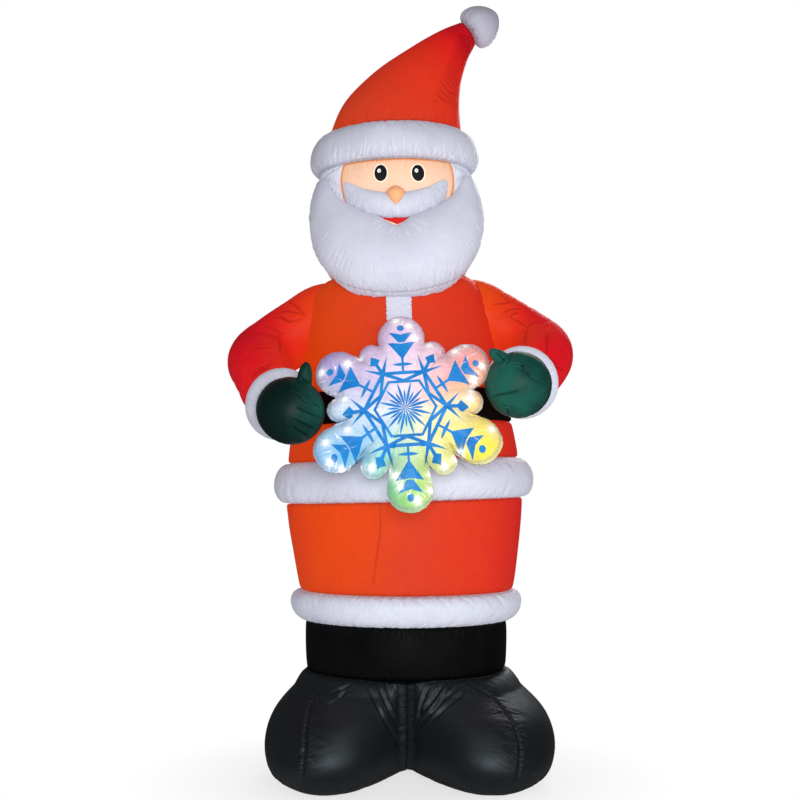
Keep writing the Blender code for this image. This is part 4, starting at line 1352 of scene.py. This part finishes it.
def white_colour_with_painted_shade(tree, place):
    x, y, z = split(tree, place)
    # painted shade: darker above 2.75 m and on the left, with a painted lift in light below 1.5 m; the
    # cloud is the cloth's own tone
    pale = (noise(tree, place, 3.0, 2.0) - 0.3) * 0.6 - (z - 2.75).higher(0.0) * 0.55
    pale = pale - ((x + 0.12) * -1.0).higher(0.0) * 0.45 + ((z - 1.5) * -1.0).higher(0.0) * 0.15
    return ramp(tree, pale + 0.4, [(0.0, (0.26, 0.255, 0.305)), (0.35, (0.41, 0.41, 0.485)),
                                   (0.5, (0.46, 0.47, 0.55)), (0.9, (0.53, 0.545, 0.62))])


def black_colour(tree, place):
    return ramp(tree, noise(tree, place, 5.0, 4.0), [(0.3, (0.0022, 0.0022, 0.0024)),
                                                     (0.7, (0.0045, 0.0047, 0.0053))])


def green_colour_with_painted_light(tree, place):
    x, y, z = split(tree, place)
    # painted light: brighter near the snowflake and towards the right; the cloud is the cloth's own tone
    near = (abs(x - FLAKE_CENTRE.x) - 0.62) / -0.27
    lit = near + (noise(tree, place, 9.0, 4.0) - 0.5) * 1.2 + x * 0.8
    return ramp(tree, lit, [(0.0, (0.0012, 0.013, 0.010)), (0.5, (0.003, 0.036, 0.027)),
                            (1.0, (0.009, 0.090, 0.067))])


# Each cloth's glow is painted glow in place of the lamps inside; on the white cloth it also lifts the
# snowflake's shadow.
RED = cloth_material("red_cloth", red_colour_with_painted_light, 0.5, 0.04, 0.85, 0.12, edge=0.6, reach=0.04, painted_fold_shading=0.34)
SLEEVE = cloth_material("sleeve_cloth", sleeve_colour_with_painted_shade, 0.45, 0.06, 0.80, 0.25, edge=0.6, painted_fold_shading=0.38)
WHITE = cloth_material("white_cloth", white_colour_with_painted_shade, 0.42, 0.15, 0.30, 0.22, edge=0.35, reach=0.07,
                       painted_fold_shading=-0.24)
BLACK = cloth_material("black_cloth", black_colour, 0.50, 0.045, 0.0, 0.3)
BOOT = cloth_material("boot_cloth", black_colour, 0.56, 0.62, 0.0, 0.5, painted_fold_shading=0.7)
BOOT.node_tree.nodes["Principled BSDF"].inputs["Specular Tint"].default_value = (0.75, 0.90, 1.0, 1)
GREEN = cloth_material("green_cloth", green_colour_with_painted_light, 0.48, 0.12, 0.0, 0.6, reach=0.09, painted_fold_shading=0.45)
print("cloths:", [cloth.name for cloth in (RED, SLEEVE, WHITE, BLACK, BOOT, GREEN)])

# %% [markdown]
# The face is printed on the head's cloth: skin, an orange hem, two oval eyes and the
# mouth. A Mapping node takes the print's own upright place to the leaning head.


# %% Face and nose
def oval(u, v, centre, half_width, half_height):
    """Above zero inside an upright oval, in shares of its half width."""
    across = (u - centre[0]) / half_width
    up = (v - centre[1]) / half_height
    return (across * across + up * up).made("SQRT").less_from(1.0)


# the ovals of one eye: (across, up), half width, half height, gain, blur, colour
EYE = [((0, 0), 0.0335, 0.0435, 0.03, 0.002, (0.95, 0.80, 0.66)),
       ((0, 0), 0.0290, 0.0385, 0.03, 0.002, (0.008, 0.008, 0.010)),
       ((-0.004, -0.010), 0.019, 0.024, 0.02, 0.004, (0.012, 0.012, 0.012)),
       ((-0.007, 0.011), 0.0080, 0.0090, 0.01, 0.002, (0.95, 0.95, 0.98)),
       ((-0.006, 0.010), 0.0035, 0.0035, 0.004, 0.002, (0.25, 0.26, 0.30))]
EYES = ((-0.0666, 2.7853), (0.105, 2.7825))
HEM_COLOUR, HAIR_COLOUR, MOUTH_COLOUR = (0.80, 0.27, 0.09), (0.70, 0.71, 0.81), (0.58, 0.010, 0.010)


def face_colour(tree, place):
    own = put(tree, "Mapping", {"Vector": place, "Location": LEAN_FOOT, "Rotation": (0, -LEAN, 0)},
              vector_type="TEXTURE").outputs[0]
    u, front, v = split(tree, own)
    v = v + WAIST
    bow = (v - 2.765) / 0.09
    side = abs(u - 0.0100).less_from(0.266) - bow * bow * 0.018
    top = v.less_from(2.8535)
    panel = side.lower(top)
    ahead = front.less_from(0.0)
    skin = ramp(tree, (v - 2.60) / 0.25, [(0.0, (0.86, 0.60, 0.44)), (0.5, (0.84, 0.55, 0.40)),
                                          (1.0, (0.78, 0.46, 0.30))])
    colour = blend_colours(tree, panel.lower(ahead).inside(0.003), HAIR_COLOUR, HEM_COLOUR)
    colour = blend_colours(tree, (panel - 0.010).lower(ahead).inside(0.004), colour, skin)
    for centre in EYES:
        for (across, up), half_width, half_height, gain, blur, tint in EYE:
            spot = oval(u, v, (centre[0] + across, centre[1] + up), half_width, half_height)
            colour = blend_colours(tree, (spot * gain).lower(ahead).inside(blur), colour, tint)
    wedge = (v - 2.5440) * 2.4 - abs(u - 0.0040)
    mouth = wedge.lower(v.less_from(2.64))
    return blend_colours(tree, mouth.lower(ahead).inside(0.003), colour, MOUTH_COLOUR)


def nose_colour(tree, place):
    along, away, unused = split(tree, kept(tree, "seam"))
    return ramp(tree, away * 30.0, [(0.0, (0.62, 0.22, 0.08)), (0.25, (0.77, 0.36, 0.17)),
                                    (1.0, (0.82, 0.39, 0.19))])


FACE = cloth_material("face_cloth", face_colour, 0.5, 0.06, 0.10, 0.03, edge=0.2)
NOSE = cloth_material("nose_cloth", nose_colour, 0.5, 0.10, 0.08, 0.1, edge=0.2, relief=0.4)
print("face print:", len(FACE.node_tree.nodes), "nodes")

# %% [markdown]
# The snowflake's ornament is printed in one blue. It repeats six times round the
# middle, so the angle is folded into one mirrored sixth. In that sixth each bar,
# needle and triangle is one formula that is above zero inside its shape.


# %% Snowflake print
print_group, given, result = group("snowflake_print", [("Place", "NodeSocketVector", None)],
                                   [("Print", "NodeSocketFloat"), ("Radius", "NodeSocketFloat"),
                                    ("Turn", "NodeSocketFloat")])
u, unused, v = split(print_group, given.outputs["Place"])
v = (v + 0.036) / 1.05
v = v + v.higher(0.0) * v.higher(0.0) * 0.13
radius = (u * u + v * v).made("SQRT")
turn = v.made("ARCTAN2", u)
SIXTH = math.pi / 3
folded = (turn + math.tau).made("MODULO", SIXTH) - SIXTH / 2
out = radius * folded.made("COSINE")
aside = abs(radius * folded.made("SINE"))
node_out = out * math.cos(SIXTH / 2) + aside * math.sin(SIXTH / 2)
node_aside = abs(aside * math.cos(SIXTH / 2) - out * math.sin(SIXTH / 2))


def between(value, low, high):
    """Above zero where the value is between low and high."""
    return (value - low).lower(value.less_from(high))


NODE = 0.1745
SIDE = NODE * math.cos(SIXTH / 2)
shapes = []
# the thin star in the middle
RAY_TURN = math.radians(30)
ray_fold = (turn + math.tau).made("MODULO", RAY_TURN) - RAY_TURN / 2
ray_side = abs(radius * ray_fold.made("SINE"))
share = radius / 0.116
shapes.append(share * share.less_from(1.0) * 0.0230 - ray_side - 0.0001)
short_fold = (turn + math.tau + RAY_TURN / 2).made("MODULO", RAY_TURN) - RAY_TURN / 2
short_side = abs(radius * short_fold.made("SINE"))
share = radius / 0.080
shapes.append((share - 0.28) * share.less_from(1.0) * 0.0340 - short_side - 0.0001)
# the inner hexagon
shapes.append(abs(out - 0.1125).less_from(0.0056))
# the bar from node to node and the shallow chevron behind it
shapes.append(abs(out - SIDE).less_from(0.0074))
chevron = abs((out - 0.116) * 0.928 - aside * 0.372)
shapes.append(chevron.less_from(0.0072).lower(out.less_from(SIDE + 0.004)))
# stem, cross needle, two triangles and the dot of each long arm
shapes.append(between(out, SIDE, 0.230).lower(aside.less_from(0.0052)))
needle = aside / 0.045
shapes.append((needle * needle).less_from(1.0) * 0.0075 - abs(out - 0.188))
cup = aside * 0.12 + 0.285 - out
shapes.append((out - 0.212).lower(cup).lower(((out - 0.210) * 0.72 - aside) * 0.81))
flare = ((out - 0.272) * 0.75 - aside) * 0.80
notch = aside * 0.28 + 0.328 - out
shapes.append((out - aside * 0.12 - 0.2895).lower(flare).lower(notch))
dot_out = out - 0.3600
shapes.append((dot_out * dot_out + aside * aside).made("SQRT").less_from(0.0150))
# two spikes and a diamond arrow at each node
ahead = node_out - NODE
spike_along = (ahead + node_aside) * 0.7071
spike_across = abs(ahead - node_aside) * 0.7071
taper = (spike_along / 0.086).less_from(1.0) * 0.0096
shapes.append((taper - spike_across).lower(spike_along))
shapes.append(between(node_out, NODE, 0.224).lower(node_aside.less_from(0.0072)))
inner_edge = (node_out - 0.216) * 1.25 - node_aside
outer_edge = node_out.less_from(0.270) * 0.72 - node_aside
shapes.append(inner_edge.lower(outer_edge).lower(node_out - 0.216))
whole = shapes[0]
for shape in shapes[1:]:
    whole = whole.higher(shape)
print_group.links.new(whole.inside(0.0014).socket, result.inputs["Print"])
print_group.links.new(radius.socket, result.inputs["Radius"])
print_group.links.new((turn / math.tau + 0.5).socket, result.inputs["Turn"])
print("snowflake print:", len(print_group.nodes), "nodes")

# %% [markdown]
# Small lamps behind the film are painted on it as soft glows with star-shaped glints. Each
# point of the snowflake keeps the way to its nearest lamp and that lamp's brightness, and
# how far the rim is.

# %% Lamps and hem
# (across, up, brightness) of each lamp, on the snowflake
LAMPS = [(-0.351, 0.156, 1), (-0.233, 0.180, 1), (-0.348, 0.080, 0.8), (-0.303, 0.038, 0.8),
         (-0.019, 0.368, 1), (0.037, 0.337, 0.8), (0.058, 0.277, 0.9), (0.226, 0.215, 1),
         (0.273, 0.242, 0.8), (0.337, 0.141, 0.9), (0.299, 0.085, 1), (0.219, -0.227, 1),
         (0.361, -0.139, 0.8), (0.093, -0.317, 1), (-0.040, -0.368, 0.8), (0.025, -0.425, 1),
         (0.084, -0.383, 0.8), (-0.060, -0.317, 0.9), (-0.331, -0.239, 1), (-0.346, -0.157, 0.8),
         (-0.284, -0.269, 0.9), (-0.211, -0.260, 1), (-0.157, -0.275, 0.8), (-0.087, -0.290, 0.7),
         (0.278, -0.003, 0.8), (0.284, 0.032, 0.6), (-0.257, 0.026, 0.8), (-0.180, 0.212, 0.7),
         (0.119, 0.250, 0.8), (0.196, -0.253, 0.8), (0.149, -0.286, 0.7), (-0.250, -0.110, 0.6)]
HEM_WIDTH = 0.05
points, normals = mesh_points(flake)
back = np.array(FLAKE_PLACE.inverted())
flat = points @ back[:3, :3].T + back[:3, 3]
lamp_rows = np.array(LAMPS)
offsets = flat[:, None, (0, 2)] - lamp_rows[None, :, :2]
nearest = np.linalg.norm(offsets, axis=2).argmin(axis=1)
rows = np.arange(len(flat))
values = np.column_stack((offsets[rows, nearest], lamp_rows[nearest, 2]))
store = flake.data.attributes.new("lamp", "FLOAT_VECTOR", "POINT")
store.data.foreach_set("vector", values.ravel())
distance = np.hypot(flat[:, 0], flat[:, 2])
rim_reach = flake_reach(np.arctan2(flat[:, 2], flat[:, 0]))
store = flake.data.attributes.new("hem", "FLOAT", "POINT")
store.data.foreach_set("value", np.clip((rim_reach - distance) / HEM_WIDTH, 0, 1))
print(len(LAMPS), "lamps behind the film")

# %% [markdown]
# The film's colour is painted light: the glow of the lamps inside, in colours that run
# round the snowflake and pale towards its middle. Painted shade in the crinkles, painted
# highlights and shade on the gathers at its rim, the lamps' painted glows and stars, and
# the print are laid over them.

# %% Lit film
film = bpy.data.materials.new("lit_film")
film.use_nodes = True
tree = film.node_tree
shader = tree.nodes["Principled BSDF"]
place = put(tree, "TexCoord").outputs["Object"]
own = put(tree, "Mapping", {"Vector": place, "Location": FLAKE_PLACE.to_translation(),
                            "Rotation": FLAKE_PLACE.to_euler()}, vector_type="TEXTURE").outputs[0]
drawn = use_group(tree, print_group, {"Place": own})
around = Field(tree, drawn.outputs["Turn"])
# painted light: the lamps' colours round the snowflake, paling towards its middle below
painted_lamp_hues = ramp(tree, around, [
    (0.0, (0.48, 0.62, 0.76)), (0.085, (0.12, 0.38, 0.66)), (0.165, (0.16, 0.52, 0.46)),
    (0.25, (0.24, 0.52, 0.10)), (0.335, (0.60, 0.66, 0.14)), (0.415, (0.76, 0.64, 0.05)),
    (0.50, (0.80, 0.60, 0.20)), (0.583, (0.74, 0.24, 0.18)), (0.665, (0.74, 0.44, 0.54)),
    (0.75, (0.64, 0.48, 0.66)), (0.83, (0.58, 0.44, 0.66)), (0.915, (0.34, 0.27, 0.52)),
    (1.0, (0.48, 0.62, 0.76))])
strength = (Field(tree, drawn.outputs["Radius"]) / 0.33).made("MINIMUM", 1.0)
cloud = put(tree, "TexNoise", {"Vector": own, "Scale": 14.0, "Detail": 3.0})
strength = strength * 0.72 + 0.28 + (Field(tree, cloud.outputs[0]) - 0.55) * 0.55
lit = blend_colours(tree, strength.made("ADD", 0.0, clamp=True), (0.70, 0.68, 0.72), painted_lamp_hues)
drift = put(tree, "VectorMath", {0: cloud.outputs["Color"], 1: (0.05, 0.05, 0.05)},
            operation="MULTIPLY").outputs[0]
wander = put(tree, "VectorMath", {0: own, 1: drift}, operation="ADD").outputs[0]
net = put(tree, "TexVoronoi", {"Vector": wander, "Scale": 17.0}, feature="DISTANCE_TO_EDGE")
crinkle = (Field(tree, net.outputs["Distance"]) / 0.07).less_from(1.0).higher(0.0)
gathers = use_group(tree, seam_group, {"Seam": kept(tree, "seam"), "Reach": 0.05})
# painted highlights and shade on the gathers, and painted shade in the crinkles
painted_fold_light = Field(tree, gathers.outputs["Painted streak shading"]) * 0.30 + 1.0 - crinkle * 0.10
lit = blend_colours(tree, 1.0, lit, grey(tree, painted_fold_light), "MULTIPLY")
hem = Field(tree, kept(tree, "hem", "Fac"))
stitch_off = (hem - 0.30) / 0.10
stitches = (stitch_off * stitch_off * -1.0).made("EXPONENT") * 0.42
lit = blend_colours(tree, stitches, lit, (0.22, 0.20, 0.34))
lit = blend_colours(tree, (hem * -9.0).made("EXPONENT") * 0.75, lit, (0.80, 0.84, 0.92))
lamp_u, lamp_v, lamp_power = split(tree, kept(tree, "lamp"))
lamp_far = lamp_u * lamp_u + lamp_v * lamp_v
# painted glow of each lamp with star-shaped glints; where it is bright it covers the print
lamps = (lamp_far * -9000.0).made("EXPONENT") + (lamp_far * -1500.0).made("EXPONENT") * 0.40
for degrees in (15, 75, 135):
    ray = (math.cos(math.radians(degrees)), math.sin(math.radians(degrees)))
    ray_across = abs(lamp_u * ray[1] - lamp_v * ray[0])
    ray_along = abs(lamp_u * ray[0] + lamp_v * ray[1])
    lamps = lamps + (ray_across * -420.0 - ray_along * 55.0).made("EXPONENT") * 0.9
lamps = lamps * lamp_power
lit = blend_colours(tree, lamps.made("ADD", 0.0, clamp=True), lit, (1.0, 1.0, 0.98))
printed = Field(tree, drawn.outputs["Print"])
ink = ramp(tree, Field(tree, cloud.outputs[0]), [(0.3, (0.006, 0.14, 0.44)), (0.7, (0.015, 0.21, 0.52))])
final = blend_colours(tree, printed * (lamps.made("MINIMUM", 1.0) * -0.6 + 1.0), lit, ink)
tree.links.new(final, shader.inputs["Base Color"])
# painted glow: the film gives off its painted colour in place of the lamps inside
tree.links.new(final, shader.inputs["Emission Color"])
shader.inputs["Emission Strength"].default_value = 0.11
shader.inputs["Roughness"].default_value = 0.38
shader.inputs["Specular IOR Level"].default_value = 0.12
cloth = use_group(tree, cloth_group, {"Place": place})
height = Field(tree, cloth.outputs["Height"]) + Field(tree, gathers.outputs["Height"]) - crinkle * 0.0010
bump = put(tree, "Bump", {"Height": height, "Strength": 0.9, "Distance": 1.0})
tree.links.new(bump.outputs["Normal"], shader.inputs["Normal"])
print("film:", len(tree.nodes), "nodes")

# %% [markdown]
# The record names each piece's material slot, and each slot has its finish. Sleeves
# and boots have their own kinds of red and black.

# %% Put each finish on its pieces
FINISHES = {"red_nylon": RED, "white_nylon": WHITE, "black_nylon": BLACK, "green_nylon": GREEN,
            "face_nylon": FACE, "nose_nylon": NOSE, "snowflake_film": film}
slots = {row["node"]: row["material_slot"] for row in frame["record"]["subparts"]}
for node, piece in PIECES.items():
    piece.data.materials.clear()
    own = {"sleeve": SLEEVE, "boot": BOOT}.get(node.split("_")[-1])
    piece.data.materials.append(own or FINISHES[slots[node]])
print("finishes:", sorted(FINISHES))

# %% [markdown]
# The studio: a pale floor that runs out into white, one large soft key straight from
# the front, a weak fill and a light behind for the edges. Shiny cloth sees a dimmer
# floor and sky than the lens does, as in a dark room.

# %% Floor and light
bpy.ops.object.select_all(action="DESELECT")
bpy.ops.mesh.primitive_plane_add(size=80, location=(0, 0, 0))
floor = named("studio_floor")
pale = bpy.data.materials.new("pale_floor")
pale.use_nodes = True
tree = pale.node_tree
shader = tree.nodes["Principled BSDF"]
fx, fy, fz = split(tree, put(tree, "TexCoord").outputs["Object"])
far = ((fx * fx + fy * fy).made("SQRT") - 0.45) / 0.8
path = put(tree, "LightPath").outputs
dimmed = Field(tree, path["Is Glossy Ray"]) * -0.95 + Field(tree, path["Is Diffuse Ray"]) * -0.1
strength = dimmed + 1.0
glow = put(tree, "Emission", {"Color": (1, 1, 1, 1), "Strength": strength.higher(0.0)})
share = far.made("ADD", 0.0, clamp=True) * 0.3 + 0.7
fade = put(tree, "MixShader", {0: share, 1: shader.outputs[0], 2: glow.outputs[0]})
tree.links.new(fade.outputs[0], tree.nodes["Material Output"].inputs["Surface"])
shader.inputs["Base Color"].default_value = (0.92, 0.92, 0.92, 1)
shader.inputs["Roughness"].default_value = 0.9
shader.inputs["Specular IOR Level"].default_value = 0.1
floor.data.materials.append(pale)


def soft_light(name, location, target, size, power):
    """A round soft lamp that looks at its target."""
    bpy.ops.object.select_all(action="DESELECT")
    aim = (Vector(target) - Vector(location)).to_track_quat("-Z", "Y").to_euler()
    bpy.ops.object.light_add(type="AREA", location=location, rotation=aim)
    lamp = named(name)
    lamp.data.shape = "DISK"
    lamp.data.size = size
    lamp.data.energy = power
    return lamp


soft_light("key_light", (0.3, -7.4, 2.2), (0, 0, 1.6), 3.2, 365)
soft_light("fill_light", (3.6, -5.4, 1.8), (0, 0, 1.5), 3.0, 55)
soft_light("back_light", (1.5, 5.6, 4.2), (0, 0, 1.9), 3.0, 140)

world = bpy.data.worlds.new("studio_air")
bpy.context.scene.world = world
world.use_nodes = True
tree = world.node_tree
sky = tree.nodes["Background"]
sky.inputs["Color"].default_value = (0.93, 0.95, 1.0, 1)
glossy = Field(tree, put(tree, "LightPath").outputs["Is Glossy Ray"])
tree.links.new((glossy * -0.20 + 0.27).socket, sky.inputs["Strength"])
white = put(tree, "Background", {"Color": (1, 1, 1, 1), "Strength": 1.0})
seen = put(tree, "LightPath").outputs["Is Camera Ray"]
both = put(tree, "MixShader", {0: seen, 1: sky.outputs[0], 2: white.outputs[0]})
tree.links.new(both.outputs[0], tree.nodes["World Output"].inputs["Surface"])
bpy.context.scene.view_settings.view_transform = "Standard"
print("studio:", floor.name, "and", world.name)

# %% [markdown]
# Last, the faces of all the dressed pieces are counted.

# %% Count the faces
print("faces in all:", sum(len(piece.data.polygons) for piece in PIECES.values()))
